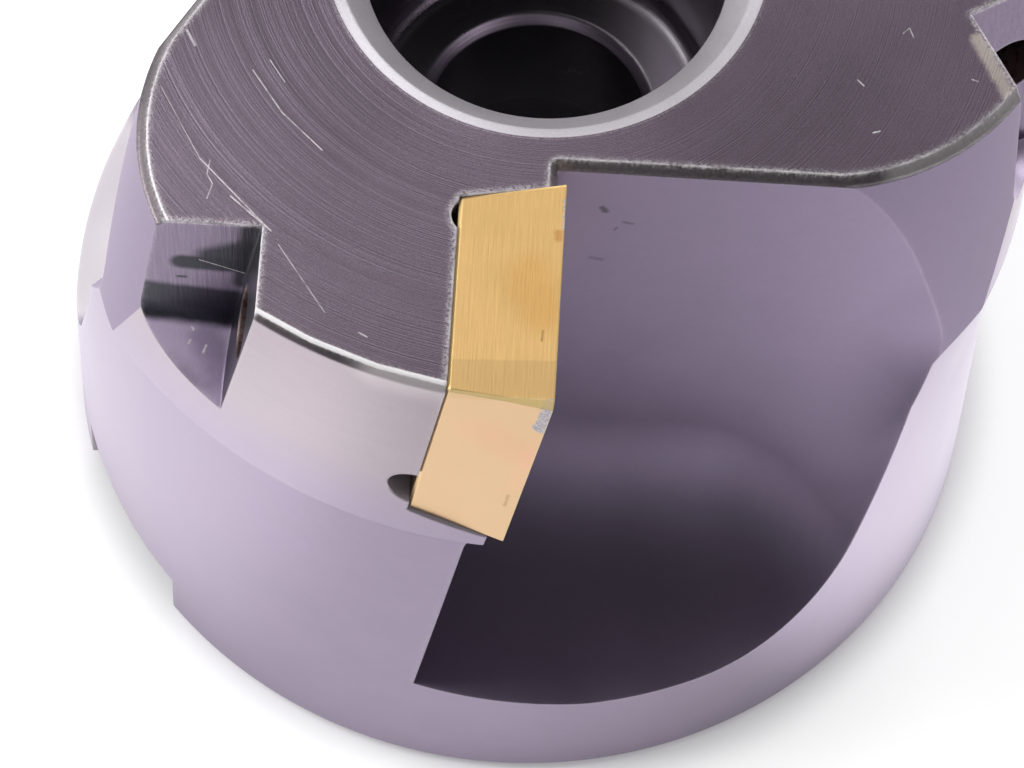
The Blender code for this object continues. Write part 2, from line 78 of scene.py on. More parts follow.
@dataclass(frozen=True)
class Layout:
    """Places and angles that tie the body, the inserts and the screws together."""

    teeth: int = 3
    height: float = 44.7 * MM
    cut_radius: float = 24.92 * MM
    rake_offset: float = 1.58 * MM
    axial_rake: float = math.radians(7.6)
    insert_proud: float = 0.35 * MM
    insert_width: float = 11.65 * MM
    insert_height: float = 15.2 * MM
    insert_thickness: float = 4.85 * MM
    side_clearance: float = math.radians(9.5)
    end_clearance: float = math.radians(13.0)
    screw_shift: float = 0.5 * MM
    shank_radius: float = 1.45 * MM
    solid_gap: float = 0.3 * MM
    head_radius: float = 2.6 * MM
    head_sink: float = 0.55 * MM
    head_rim: float = 0.5 * MM
    head_cone: float = 1.5 * MM

    @property
    def rake_slope(self) -> float:
        """Sideways run of the rake face for each unit of depth."""
        return math.tan(self.axial_rake)

    def tooth_turn(self, index: int) -> Matrix:
        """The rotation that carries the first tooth to this one."""
        return Matrix.Rotation(index * FULL_TURN / self.teeth, 4, "Z")

    def insert_frame(self) -> Matrix:
        """The first tooth's frame.

        Returns:
            X outwards along the rake face, Y out of it, Z up it, at its upper outer corner.
        """
        outwards = Vector((0.0, -1.0, 0.0))
        ahead = Vector((math.cos(self.axial_rake), 0.0, -math.sin(self.axial_rake)))
        up = Vector((math.sin(self.axial_rake), 0.0, math.cos(self.axial_rake)))
        made = Matrix((outwards, ahead, up)).transposed().to_4x4()
        made.translation = Vector((self.rake_offset, -self.cut_radius, self.height + self.insert_proud))
        return made

    def screw_frame(self) -> Matrix:
        """The first screw's frame, with Z out of the rake face."""
        turn = Matrix(((1, 0, 0, 0), (0, 0, 1, 0), (0, -1, 0, 0), (0, 0, 0, 1)))
        across = -0.5 * self.insert_width - self.screw_shift
        return self.insert_frame() @ Matrix.Translation((across, 0.0, -0.5 * self.insert_height)) @ turn


LAYOUT = Layout()


# Meshes


def circle(centre: Point2, radius: float, count: int, start: float = 0.0, sweep: float = FULL_TURN) -> list[Point2]:
    """Points of a circle, or of an arc with both its ends when the sweep is shorter.

    Args:
        centre: The centre's two coordinates.
        radius: The radius.
        count: How many points there are.
        start: The first point's angle.
        sweep: The angle from the first point to the last.

    Returns:
        The points in order.
    """
    steps = count if abs(sweep) >= FULL_TURN else count - 1
    angles = [start + sweep * k / steps for k in range(count)]
    return [(centre[0] + radius * math.cos(a), centre[1] + radius * math.sin(a)) for a in angles]


def soften(outline: list[Point2], reach: float, steps: int = 4, least: float = math.radians(20.0)) -> list[Point2]:
    """Rounds the sharp corners of a closed outline.

    Args:
        outline: The outline's corners in order.
        reach: How far from its corner a rounding starts.
        steps: How many straight pieces a rounding has.
        least: Corners that turn less than this stay.

    Returns:
        The outline with small curves in place of its corners.
    """
    made: list[Point2] = []
    count = len(outline)
    for i in range(count):
        before, here, after = (Vector(outline[(i + k) % count]) for k in (-1, 0, 1))
        back, ahead = before - here, after - here
        if back.length < 1e-9 or ahead.length < 1e-9 or math.pi - back.angle(ahead) < least:
            made.append(tuple(here))
            continue
        start = here + back.normalized() * min(reach, 0.4 * back.length)
        end = here + ahead.normalized() * min(reach, 0.4 * ahead.length)
        for k in range(steps + 1):
            t = k / steps
            made.append(tuple(start * (1 - t) ** 2 + here * (2 * t * (1 - t)) + end * t * t))
    return made


def loft(rings: list[list[Vector]], closed: bool = True) -> bmesh.types.BMesh:
    """Joins rings that have the same number of points.

    Args:
        rings: The rings in order.
        closed: Whether the first and last ring are filled.

    Returns:
        The solid, or the tube when it isn't closed.
    """
    bm = bmesh.new()
    rows = [[bm.verts.new(point) for point in ring] for ring in rings]
    if closed:
        bm.faces.new(rows[0])
        bm.faces.new(rows[-1])
    count = len(rows[0])
    for low, high in zip(rows, rows[1:]):
        for i in range(count):
            j = (i + 1) % count
            bm.faces.new((low[i], low[j], high[j], high[i]))
    bmesh.ops.recalc_face_normals(bm, faces=bm.faces)
    return bm


def prism(outline: list[Point2], place: Matrix, start: float, end: float) -> bmesh.types.BMesh:
    """A prism on an outline in the place's XY plane, swept along its Z."""
    return loft([[place @ Vector((x, y, level)) for x, y in outline] for level in (start, end)])


def stack(place: Matrix, levels: list[Point2], around: int) -> bmesh.types.BMesh:
    """A round solid along the place's Z, from a list of (level, radius)."""
    rings = [[place @ Vector((x, y, level)) for x, y in circle((0.0, 0.0), radius, around)] for level, radius in levels]
    return loft(rings)


def revolve(profile: list[Point2], steps: int) -> bmesh.types.BMesh:
    """A ring-shaped solid turned about Z from a closed profile of (radius, height)."""
    bm = bmesh.new()
    rows = []
    for k in range(steps):
        turn = FULL_TURN * k / steps
        rows.append([bm.verts.new((r * math.cos(turn), r * math.sin(turn), z)) for r, z in profile])
    for k in range(steps):
        here, there = rows[k], rows[(k + 1) % steps]
        for i in range(len(profile)):
            j = (i + 1) % len(profile)
            bm.faces.new((here[i], there[i], there[j], here[j]))
    bmesh.ops.recalc_face_normals(bm, faces=bm.faces)
    return bm


def hull(points: list[Vector]) -> bmesh.types.BMesh:
    """The convex hull of the points, with its flat parts merged."""
    bm = bmesh.new()
    for point in points:
        bm.verts.new(point)
    result = bmesh.ops.convex_hull(bm, input=bm.verts)
    loose = {v for v in result["geom_interior"] + result["geom_unused"] if isinstance(v, bmesh.types.BMVert)}
    bmesh.ops.delete(bm, geom=list(loose), context="VERTS")
    bmesh.ops.dissolve_limit(bm, angle_limit=math.radians(0.05), verts=bm.verts, edges=bm.edges)
    bmesh.ops.recalc_face_normals(bm, faces=bm.faces)
    return bm


def new_object(name: str, bm: bmesh.types.BMesh) -> bpy.types.Object:
    """Turns a bmesh into an object of the scene."""
    mesh = bpy.data.meshes.new(name)
    bm.to_mesh(mesh)
    bm.free()
    obj = bpy.data.objects.new(name, mesh)
    bpy.context.scene.collection.objects.link(obj)
    return obj


def applied(obj: bpy.types.Object) -> bpy.types.Object:
    """Replaces the object's mesh by what its modifiers make of it, and drops them."""
    graph = bpy.context.evaluated_depsgraph_get()
    mesh = bpy.data.meshes.new_from_object(obj.evaluated_get(graph))
    obj.modifiers.clear()
    old = obj.data
    obj.data = mesh
    bpy.data.meshes.remove(old)
    mesh.name = obj.name
    return obj


def boolean(obj: bpy.types.Object, cutter: bpy.types.Object, operation: str = "DIFFERENCE") -> None:
    """An exact Boolean of the object with the cutter, whose faces keep their own material."""
    modifier = obj.modifiers.new(cutter.name, "BOOLEAN")
    modifier.operation = operation
    modifier.solver = "EXACT"
    modifier.material_mode = "TRANSFER"
    modifier.object = cutter


def shade(obj: bpy.types.Object, angle: float = math.radians(28.0)) -> None:
    """Smooth shading with sharp edges over the angle."""
    obj.data.shade_smooth()
    obj.data.set_sharp_from_angle(angle=angle)


def plain_material(name: str) -> bpy.types.Material:
    """The material of that name, made empty if it isn't there."""
    return bpy.data.materials.get(name) or bpy.data.materials.new(name)


# Geometry Nodes


class Group:
    """A Geometry Nodes tree under construction, with one geometry going in and one coming out."""

    def __init__(self, name: str) -> None:
        """Starts the tree.

        Args:
            name: The tree's name.
        """
        self.tree = bpy.data.node_groups.new(name, "GeometryNodeTree")
        self.tree.interface.new_socket("Geometry", in_out="INPUT", socket_type="NodeSocketGeometry")
        self.tree.interface.new_socket("Geometry", in_out="OUTPUT", socket_type="NodeSocketGeometry")
        self.start = self.tree.nodes.new("NodeGroupInput")
        self.end = self.tree.nodes.new("NodeGroupOutput")

    def ask(self, name: str, kind: str, default: object = None) -> None:
        """Adds a named input of that socket type."""
        socket = self.tree.interface.new_socket(name, in_out="INPUT", socket_type=kind)
        if default is not None:
            socket.default_value = default

    def add(self, kind: str, inputs: dict[str, object] | None = None, **settings: object) -> bpy.types.Node:
        """Adds a node.

        Args:
            kind: The node's type.
            inputs: Values or sockets by input name.
            settings: Properties of the node.

        Returns:
            The node.
        """
        node = self.tree.nodes.new(kind)
        for key, value in settings.items():
            setattr(node, key, value)
        for key, value in (inputs or {}).items():
            socket = node.inputs[key]
            if isinstance(value, Socket):
                self.tree.links.new(value, socket)
            else:
                socket.default_value = value
        return node

    def finish(self, geometry: Socket) -> None:
        """Ends the tree in Realize Instances and Set Material."""
        real = self.add("GeometryNodeRealizeInstances", {"Geometry": geometry})
        worn = self.add(
            "GeometryNodeSetMaterial", {"Geometry": real.outputs[0], "Material": self.start.outputs["Material"]}
        )
        self.tree.links.new(worn.outputs[0], self.end.inputs[0])

    def put_on(self, obj: bpy.types.Object, **values: object) -> None:
        """Adds the tree to the object as a modifier, with its named inputs set."""
        modifier = obj.modifiers.new(self.tree.name, "NODES")
        modifier.node_group = self.tree
        for item in self.tree.interface.items_tree:
            key = item.name.lower().replace(" ", "_")
            if item.in_out == "INPUT" and key in values:
                modifier[item.identifier] = values[key]


def ring_group() -> Group:
    """The tree that sets copies of a shape round the spindle axis, one for each tooth from the first asked for."""
    group = Group("copies_round_the_spindle")
    group.ask("Teeth", "NodeSocketInt", LAYOUT.teeth)
    group.ask("First", "NodeSocketInt", 0)
    group.ask("Copies", "NodeSocketInt", LAYOUT.teeth)
    group.ask("Material", "NodeSocketMaterial")
    points = group.add("GeometryNodePoints", {"Count": group.start.outputs["Copies"]})
    index = group.add("GeometryNodeInputIndex")
    tooth = group.add("ShaderNodeMath", operation="ADD")
    group.tree.links.new(index.outputs[0], tooth.inputs[0])
    group.tree.links.new(group.start.outputs["First"], tooth.inputs[1])
    pitch = group.add("ShaderNodeMath", operation="DIVIDE")
    pitch.inputs[0].default_value = FULL_TURN
    group.tree.links.new(group.start.outputs["Teeth"], pitch.inputs[1])
    turn = group.add("ShaderNodeMath", operation="MULTIPLY")
    group.tree.links.new(tooth.outputs[0], turn.inputs[0])
    group.tree.links.new(pitch.outputs[0], turn.inputs[1])
    spin = group.add("ShaderNodeCombineXYZ", {"Z": turn.outputs[0]})
    copies = group.add(
        "GeometryNodeInstanceOnPoints",
        {"Points": points.outputs[0], "Instance": group.start.outputs["Geometry"], "Rotation": spin.outputs[0]},
    )
    group.finish(copies.outputs[0])
    return group


def thread_group() -> Group:
    """The tree that winds a triangular ridge along a helix, as on a thread."""
    group = Group("thread_ridge")
    group.ask("Radius", "NodeSocketFloat", 1.0 * MM)
    group.ask("Length", "NodeSocketFloat", 5.0 * MM)
    group.ask("Turns", "NodeSocketFloat", 8.0)
    group.ask("Ridge", "NodeSocketFloat", 0.2 * MM)
    group.ask("Material", "NodeSocketMaterial")
    helix = group.add(
        "GeometryNodeCurveSpiral",
        {
            "Resolution": 32,
            "Rotations": group.start.outputs["Turns"],
            "Start Radius": group.start.outputs["Radius"],
            "End Radius": group.start.outputs["Radius"],
            "Height": group.start.outputs["Length"],
        },
    )
    section = group.add(
        "GeometryNodeCurvePrimitiveCircle", {"Resolution": 3, "Radius": group.start.outputs["Ridge"]}, mode="RADIUS"
    )
    ridge = group.add(
        "GeometryNodeCurveToMesh",
        {"Curve": helix.outputs[0], "Profile Curve": section.outputs[0], "Fill Caps": True},
    )
    group.finish(ridge.outputs[0])
    return group


# Materials


class Graph:
    """A shader tree with short calls for the nodes that the finishes use."""

    def __init__(self, tree: bpy.types.NodeTree) -> None:
        """Empties the tree.

        Args:
            tree: The tree of a material or of the world.
        """
        self.tree = tree
        tree.nodes.clear()

    def node(self, kind: str, **settings: object) -> bpy.types.Node:
        """Adds a node with those properties."""
        made = self.tree.nodes.new(kind)
        for key, value in settings.items():
            setattr(made, key, value)
        return made

    def feed(self, socket: Socket, value: object) -> None:
        """Links a socket to an input, or sets the input's value."""
        if isinstance(value, Socket):
            self.tree.links.new(value, socket)
        elif isinstance(value, tuple) and len(value) == 3 and socket.type == "RGBA":
            socket.default_value = (*value, 1.0)
        else:
            socket.default_value = value

    def math(self, operation: str, *values: object, clamp: bool = False) -> Socket:
        """A Math node's result."""
        made = self.node("ShaderNodeMath", operation=operation, use_clamp=clamp)
        for socket, value in zip(made.inputs, values):
            self.feed(socket, value)
        return made.outputs[0]

    def vector(self, operation: str, *values: object) -> Socket:
        """A Vector Math node's result, a number where the operation gives one."""
        made = self.node("ShaderNodeVectorMath", operation=operation)
        for socket, value in zip(made.inputs, values):
            self.feed(socket, value)
        number = operation in ("LENGTH", "DOT_PRODUCT", "DISTANCE")
        return made.outputs["Value" if number else "Vector"]

    def scaled(self, vector: Socket, factors: Colour) -> Socket:
        """The vector with each coordinate times its factor."""
        return self.vector("MULTIPLY", vector, factors)

    def blend(self, factor: object, first: object, second: object) -> Socket:
        """The mix of two colours."""
        made = self.node("ShaderNodeMix", data_type="RGBA")
        for number, value in ((0, factor), (6, first), (7, second)):
            self.feed(made.inputs[number], value)
        return made.outputs[2]

    def span(self, value: object, low: float, high: float, start: float = 0.0, end: float = 1.0) -> Socket:
        """The value carried smoothly from one range to another, and held at its ends."""
        made = self.node("ShaderNodeMapRange", interpolation_type="SMOOTHSTEP", clamp=True)
        for number, given in enumerate((value, low, high, start, end)):
            self.feed(made.inputs[number], given)
        return made.outputs[0]

    def noise(self, vector: object, scale: float, detail: float = 2.0, roughness: float = 0.5) -> Socket:
        """Noise from 0 to 1 at a point in space."""
        made = self.node("ShaderNodeTexNoise", noise_dimensions="3D")
        for key, value in (("Vector", vector), ("Scale", scale), ("Detail", detail), ("Roughness", roughness)):
            self.feed(made.inputs[key], value)
        return made.outputs[0]

    def parts(self, vector: Socket) -> list[Socket]:
        """The vector's three coordinates."""
        made = self.node("ShaderNodeSeparateXYZ")
        self.feed(made.inputs[0], vector)
        return list(made.outputs)

    def times(self, vector: Colour, factor: Socket) -> Socket:
        """A fixed vector or colour times a changing factor."""
        made = self.node("ShaderNodeVectorMath", operation="SCALE")
        made.inputs[0].default_value = vector
        self.feed(made.inputs["Scale"], factor)
        return made.outputs[0]

    def rounded(self, radius: float, samples: int) -> Socket:
        """The surface's normal with its edges rounded to the radius."""
        made = self.node("ShaderNodeBevel", samples=samples)
        made.inputs["Radius"].default_value = radius
        return made.outputs[0]

    def bumped(self, height: Socket, distance: float, normal: Socket) -> Socket:
        """The normal tilted by a height from 0 to 1, which stands for the distance."""
        made = self.node("ShaderNodeBump")
        made.inputs["Distance"].default_value = distance
        self.feed(made.inputs["Height"], height)
        self.feed(made.inputs["Normal"], normal)
        return made.outputs[0]

    def end(self, kind: str, shader: bpy.types.Node) -> None:
        """Ends the tree in an output node of that type."""
        self.feed(self.node(kind).inputs[0], shader.outputs[0])

    def away(self, place: Socket, start: Colour, end: Colour) -> Socket:
        """The distance from a place to the straight line between two others."""
        along = Vector(end) - Vector(start)
        offset = self.vector("SUBTRACT", place, start)
        if along.length < 1e-6:
            return self.vector("LENGTH", offset)
        share = self.vector("DOT_PRODUCT", offset, tuple(along / along.length_squared))
        nearest = self.times(tuple(along), self.math("ADD", share, 0.0, clamp=True))
        return self.vector("DISTANCE", offset, nearest)

    def line_noise(self, along: Socket, scale: float, detail: float = 3.0) -> Socket:
        """Noise from 0 to 1 along one measure."""
        made = self.node("ShaderNodeTexNoise", noise_dimensions="1D")
        for key, value in (("W", along), ("Scale", scale), ("Detail", detail), ("Roughness", 0.65)):
            self.feed(made.inputs[key], value)
        return made.outputs[0]


class Lay(Enum):
    """The way the tool marks of a surface run."""

    RINGS = "rings"
    UPRIGHT = "upright"
    LEVEL = "level"
    BEADED = "beaded"


@dataclass(frozen=True)
class Scratch:
    """A thin bright line on a surface, straight between its ends, with a strength from 0 to 1."""

    start: Colour
    end: Colour
    width: float = 0.05 * MM
    strength: float = 0.8

    def mask(self, graph: Graph, place: Socket, broken: Socket) -> Socket:
        """How much of the scratch there is at a place.

        Args:
            graph: The material's tree.
            place: The place on the piece.
            broken: Noise that breaks the line up.

        Returns:
            A number from 0 to 1.
        """
        away = graph.away(place, self.start, self.end)
        line = graph.span(away, 0.3 * self.width, self.width, self.strength, 0.0)
        return graph.math("MULTIPLY", line, broken)


# Patches under this reach have a rim of fine noise
SMALL_PATCH = 0.6 * MM

# How much of the metal's mirror a bare or matt spot loses
MATT_LOSS = 0.8


@dataclass(frozen=True)
class Patch:
    """A soft streak of another colour, such as a stain, a worn spot or the blush that heat leaves; some patches
    are painted shade, highlights and reflections.

    It reaches that far from the line between its ends, with its full strength inside the core's share of
    the reach. Ragged moves its rim by noise, and matt takes the metal's mirror from it.
    """

    start: Colour
    end: Colour
    reach: float
    colour: Colour
    strength: float = 1.0
    ragged: float = 0.8
    core: float = 0.2
    matt: float = 0.0

    def mask(self, graph: Graph, place: Socket, cloud: Socket) -> Socket:
        """How much of the patch there is at a place, with its rim moved by noise."""
        away = graph.away(place, self.start, self.end)
        if self.reach < SMALL_PATCH:
            cloud = graph.noise(place, 3500.0, 4.0, 0.7)
        away = graph.math("MULTIPLY_ADD", graph.math("SUBTRACT", cloud, 0.5), self.ragged * self.reach, away)
        return graph.span(away, self.core * self.reach, self.reach, self.strength, 0.0)


@dataclass(frozen=True)
class SteelFinish:
    """Blackened steel with tool marks, mottling, rubbed edges and scratches.

    Marks and grain are depths of relief, and edge_width and scuff_width how far from an edge it is rubbed
    bright and scuffed. Speckle is how much warm and cold flecks show, floor a lighter matt colour for parts
    that face up, painted light as if they were lit from above, lower another colour further down with the
    heights it sets in between, and bare the colour of steel that is rubbed bright.
    """

    name: str
    colour: Colour
    roughness: float
    lay: Lay
    marks: float = 0.5
    mark_pitch: float = 0.18 * MM
    grain: float = 0.5
    mottling: float = 0.14
    edge_shine: float = 0.95
    edge_width: float = 0.18 * MM
    scuff: float = 0.75
    scuff_width: float = 0.55 * MM
    rust: float = 0.0
    metal: float = 1.0
    speckle: float = 0.0
    floor: Colour | None = None
    lower: tuple[Colour, float, float] | None = None
    patches: tuple[Patch, ...] = ()
    scratches: tuple[Scratch, ...] = ()
    bare: Colour = (0.97, 0.93, 0.95)
    relief: float = 0.012 * MM

    def _marks(self, graph: Graph, place: Socket) -> Socket:
        """The height of the tool marks at a place, from 0 to 1."""
        if self.lay is Lay.RINGS:
            x, y, z = graph.parts(place)
            radius = graph.math("SQRT", graph.math("ADD", graph.math("MULTIPLY", x, x), graph.math("MULTIPLY", y, y)))
            return graph.line_noise(graph.math("ADD", radius, z), 1.0 / self.mark_pitch)
        stretch = {Lay.UPRIGHT: (1.0, 1.0, 0.05), Lay.LEVEL: (0.04, 0.04, 1.0), Lay.BEADED: (1.0, 1.0, 1.0)}
        return graph.noise(graph.scaled(place, stretch[self.lay]), 1.0 / self.mark_pitch, 3.0, 0.6)

    def _edges(self, graph: Graph, place: Socket) -> tuple[Socket, Socket]:
        """The rounded normal near edges, and how much an outer edge is rubbed bare.

        Args:
            graph: The material's tree.
            place: The place on the piece.

        Returns:
            The normal, and a number from 0 to 1.
        """
        normal = graph.rounded(self.edge_width, 4)
        true = graph.node("ShaderNodeNewGeometry").outputs["Normal"]
        turned = graph.math("SUBTRACT", 1.0, graph.vector("DOT_PRODUCT", normal, true))
        wide = graph.rounded(self.scuff_width, 3)
        near = graph.math("SUBTRACT", 1.0, graph.vector("DOT_PRODUCT", wide, true))
        # Inner corners are shut in, so they stay dark
        hidden = graph.node("ShaderNodeAmbientOcclusion", samples=3, only_local=True)
        hidden.inputs["Distance"].default_value = 3.0 * self.edge_width
        outer = graph.span(hidden.outputs["AO"], 0.6, 0.85)
        # Only edges at the cutting face are rubbed bright
        top = LAYOUT.height
        at_top = graph.span(graph.parts(place)[2], top - 0.3 * MM, top - 0.1 * MM, 0.12, 1.0)
        outer = graph.math("MULTIPLY", outer, at_top)
        worn = graph.span(graph.noise(place, 900.0, 4.0, 0.7), 0.3, 0.6, 0.3, 1.0)
        rubbed = graph.math("MULTIPLY", graph.span(turned, 0.008, 0.035), worn)
        fine = graph.noise(graph.scaled(place, (1.0, 1.0, 0.3)), 7000.0, 3.0, 0.7)
        scuffed = graph.math("MULTIPLY", graph.span(near, 0.004, 0.06), graph.span(fine, 0.36, 0.62, 0.0, self.scuff))
        rubbed = graph.math("MAXIMUM", graph.math("MULTIPLY", rubbed, self.edge_shine), scuffed)
        return normal, graph.math("MULTIPLY", rubbed, outer)

    def material(self) -> bpy.types.Material:
        """The finish as a material."""
        made = plain_material(self.name)
        made.use_nodes = True
        graph = Graph(made.node_tree)
        place = graph.node("ShaderNodeTexCoord").outputs["Object"]
        marks = self._marks(graph, place)
        grain = graph.noise(place, 9000.0, 3.0, 0.6)
        cloud = graph.noise(place, 260.0, 4.0, 0.6)
        normal, rubbed = self._edges(graph, place)

        # Colour: mottled, with the marks and the grain showing in it
        light = graph.math("MULTIPLY_ADD", graph.math("SUBTRACT", cloud, 0.5), 2.0 * self.mottling, 1.0)
        light = graph.math("MULTIPLY_ADD", graph.math("SUBTRACT", marks, 0.5), 0.35 * self.marks, light)
        light = graph.math("MULTIPLY_ADD", graph.math("SUBTRACT", grain, 0.5), 0.3 * self.grain, light)
        colour = graph.times(self.colour, light)
        if self.speckle:
            fleck = graph.noise(place, 13000.0, 2.0, 0.6)
            warm = graph.span(fleck, 0.52, 0.64, 0.0, self.speckle)
            cold = graph.span(fleck, 0.36, 0.48, self.speckle, 0.0)
            colour = graph.blend(warm, colour, tuple(c * f for c, f in zip(self.colour, (1.5, 1.15, 1.3))))
            colour = graph.blend(cold, colour, tuple(c * f for c, f in zip(self.colour, (0.5, 0.6, 0.75))))
        matt: object = 0.0
        if self.lower:
            tone, low, high = self.lower
            colour = graph.blend(graph.span(graph.parts(place)[2], low, high, 1.0, 0.0), colour, tone)
        # Painted light: faces that look up turn to the lighter matt floor colour, as if lit from above
        if self.floor:
            up = graph.parts(graph.node("ShaderNodeNewGeometry").outputs["Normal"])[2]
            matt = graph.math("MULTIPLY", graph.span(up, 0.2, 0.55), graph.span(cloud, 0.2, 0.6, 0.6, 1.0))
            colour = graph.blend(matt, colour, self.floor)
        for patch in self.patches:
            mask = patch.mask(graph, place, cloud)
            colour = graph.blend(mask, colour, patch.colour)
            if patch.matt:
                matt = graph.math("MAXIMUM", matt, graph.math("MULTIPLY", mask, patch.matt))
        if self.rust:
            rusty = graph.span(graph.noise(place, 2200.0, 4.0, 0.7), 0.5, 0.62, 0.0, self.rust)
            colour = graph.blend(rusty, colour, (0.20, 0.07, 0.03))
        bright = rubbed
        if self.scratches:
            broken = graph.span(graph.noise(place, 2500.0, 2.0), 0.25, 0.55, 0.25, 1.0)
            for scratch in self.scratches:
                bright = graph.math("MAXIMUM", bright, scratch.mask(graph, place, broken))
        colour = graph.blend(bright, colour, self.bare)

        # Gloss and relief
        shader = graph.node("ShaderNodeBsdfPrincipled")
        dull = graph.math("MAXIMUM", bright, matt)
        graph.feed(shader.inputs["Metallic"], graph.math("MULTIPLY_ADD", dull, -MATT_LOSS, self.metal))
        graph.feed(shader.inputs["Base Color"], colour)
        rough = graph.math("MULTIPLY_ADD", graph.math("SUBTRACT", cloud, 0.5), 0.12, self.roughness)
        rough = graph.math("MULTIPLY_ADD", graph.math("SUBTRACT", grain, 0.5), 0.1 * self.grain, rough)
        graph.feed(shader.inputs["Roughness"], rough)
        height = graph.math("MULTIPLY", marks, self.marks)
        height = graph.math("MULTIPLY_ADD", grain, 0.35 * self.grain, height)
        graph.feed(shader.inputs["Normal"], graph.bumped(height, self.relief, normal))
        graph.end("ShaderNodeOutputMaterial", shader)
        return made


@dataclass(frozen=True)
class CoatingFinish:
    """Ground carbide under a thin gold-coloured coating, paler along its edges, with painted shade where it faces
    sideways and a painted highlight on its corner facet.
    """

    name: str
    colour: Colour = (0.95, 0.61, 0.25)
    side: Colour = (0.77, 0.52, 0.29)
    edge: Colour = (1.0, 0.76, 0.34)
    edge_width: float = 0.11 * MM
    relief: float = 0.008 * MM
    roughness: float = 0.3
    line_pitch: float = 0.09 * MM
    lines: float = 0.85
    patches: tuple[Patch, ...] = ()

    def material(self) -> bpy.types.Material:
        """The finish as a material."""
        made = plain_material(self.name)
        made.use_nodes = True
        graph = Graph(made.node_tree)
        place = graph.node("ShaderNodeTexCoord").outputs["Object"]
        lines = graph.noise(graph.scaled(place, (1.0, 0.03, 0.03)), 1.0 / self.line_pitch, 3.0, 0.65)
        grain = graph.noise(place, 8000.0, 2.0)
        cloud = graph.noise(place, 330.0, 3.0, 0.6)
        light = graph.math("MULTIPLY_ADD", graph.math("SUBTRACT", lines, 0.5), 0.3 * self.lines, 1.0)
        light = graph.math("MULTIPLY_ADD", graph.math("SUBTRACT", cloud, 0.5), 0.2, light)
        colour = graph.times(self.colour, light)
        true = graph.node("ShaderNodeNewGeometry").outputs["Normal"]
        up = graph.parts(true)[2]
        # Painted shade: faces that turn sideways take the darker side colour
        colour = graph.blend(graph.span(up, 0.3, 0.8, 1.0, 0.0), colour, self.side)
        dull: object = 0.0
        for patch in self.patches:
            mask = patch.mask(graph, place, cloud)
            tone = patch.colour
            if patch.matt:
                tone = graph.blend(graph.span(grain, 0.34, 0.66), tuple(0.55 * c for c in patch.colour), patch.colour)
                dull = graph.math("MAXIMUM", dull, graph.math("MULTIPLY", mask, patch.matt))
            colour = graph.blend(mask, colour, tone)
        normal = graph.rounded(self.edge_width, 4)
        turned = graph.math("SUBTRACT", 1.0, graph.vector("DOT_PRODUCT", normal, true))
        edge = graph.math("MULTIPLY", graph.span(turned, 0.006, 0.06), graph.span(cloud, 0.3, 0.6, 0.5, 0.95))
        # Painted highlight: faces that lean between the plate's top and its side, as the corner facet does, take the
        # bright edge colour
        facet = graph.math("MULTIPLY", graph.span(up, 0.25, 0.45, 0.0, 0.8), graph.span(up, 0.8, 0.93, 1.0, 0.0))
        edge = graph.math("MAXIMUM", edge, facet)
        colour = graph.blend(edge, colour, self.edge)
        shader = graph.node("ShaderNodeBsdfPrincipled")
        dull = graph.math("MAXIMUM", edge, dull)
        graph.feed(shader.inputs["Metallic"], graph.math("MULTIPLY_ADD", dull, -MATT_LOSS, 1.0))
        graph.feed(shader.inputs["Base Color"], colour)
        graph.feed(shader.inputs["Roughness"], graph.math("MULTIPLY_ADD", cloud, 0.1, self.roughness - 0.05))
        height = graph.math("MULTIPLY_ADD", grain, 0.25, graph.math("MULTIPLY", lines, self.lines))
        graph.feed(shader.inputs["Normal"], graph.bumped(height, self.relief, normal))
        graph.end("ShaderNodeOutputMaterial", shader)
        return made


# The body


class Cut(Enum):
    """The cuts that shape the body, with the middle of the first one's angle round the axis, in degrees."""

    TURNED = ("turned", 0.0)
    GULLET = ("gullet", -60.0)
    WALL = ("gullet_wall", -60.0)
    HEEL = ("heel_floor", -55.0)
    CONE = ("heel_cone", -30.0)
    EDGE = ("edge", -50.0)
    NOTCH = ("notch", -130.0)
    POCKET = ("pocket", -85.0)
    RELIEF = ("relief", -85.0)
    HOLE = ("thread_hole", -100.0)
    SLOT = ("drive_slot", 30.0)

    @property
    def tag(self) -> str:
        """The name that the cut's faces carry through the Booleans."""
        return "cut_" + self.value[0]


def nearest_in_polygon(points: np.ndarray, corners: np.ndarray) -> np.ndarray:
    """For each point of a plane, the nearest point of a convex polygon.

    Args:
        points: The points, one a row.
        corners: The polygon's corners in order.

    Returns:
        The nearest points, one a row.
    """
    best = np.full(len(points), np.inf)
    found = points.copy()
    sides = []
    for start, end in zip(corners, np.roll(corners, -1, axis=0)):
        along = end - start
        share = np.clip(((points - start) @ along) / (along @ along), 0.0, 1.0)
        near = start + share[:, None] * along
        away = ((points - near) ** 2).sum(1)
        sides.append(along[0] * (points[:, 1] - start[1]) - along[1] * (points[:, 0] - start[0]))
        closer = away < best
        found[closer] = near[closer]
        best[closer] = away[closer]
    sides = np.array(sides)
    inside = (sides >= 0).all(0) | (sides <= 0).all(0)
    found[inside] = points[inside]
    return found


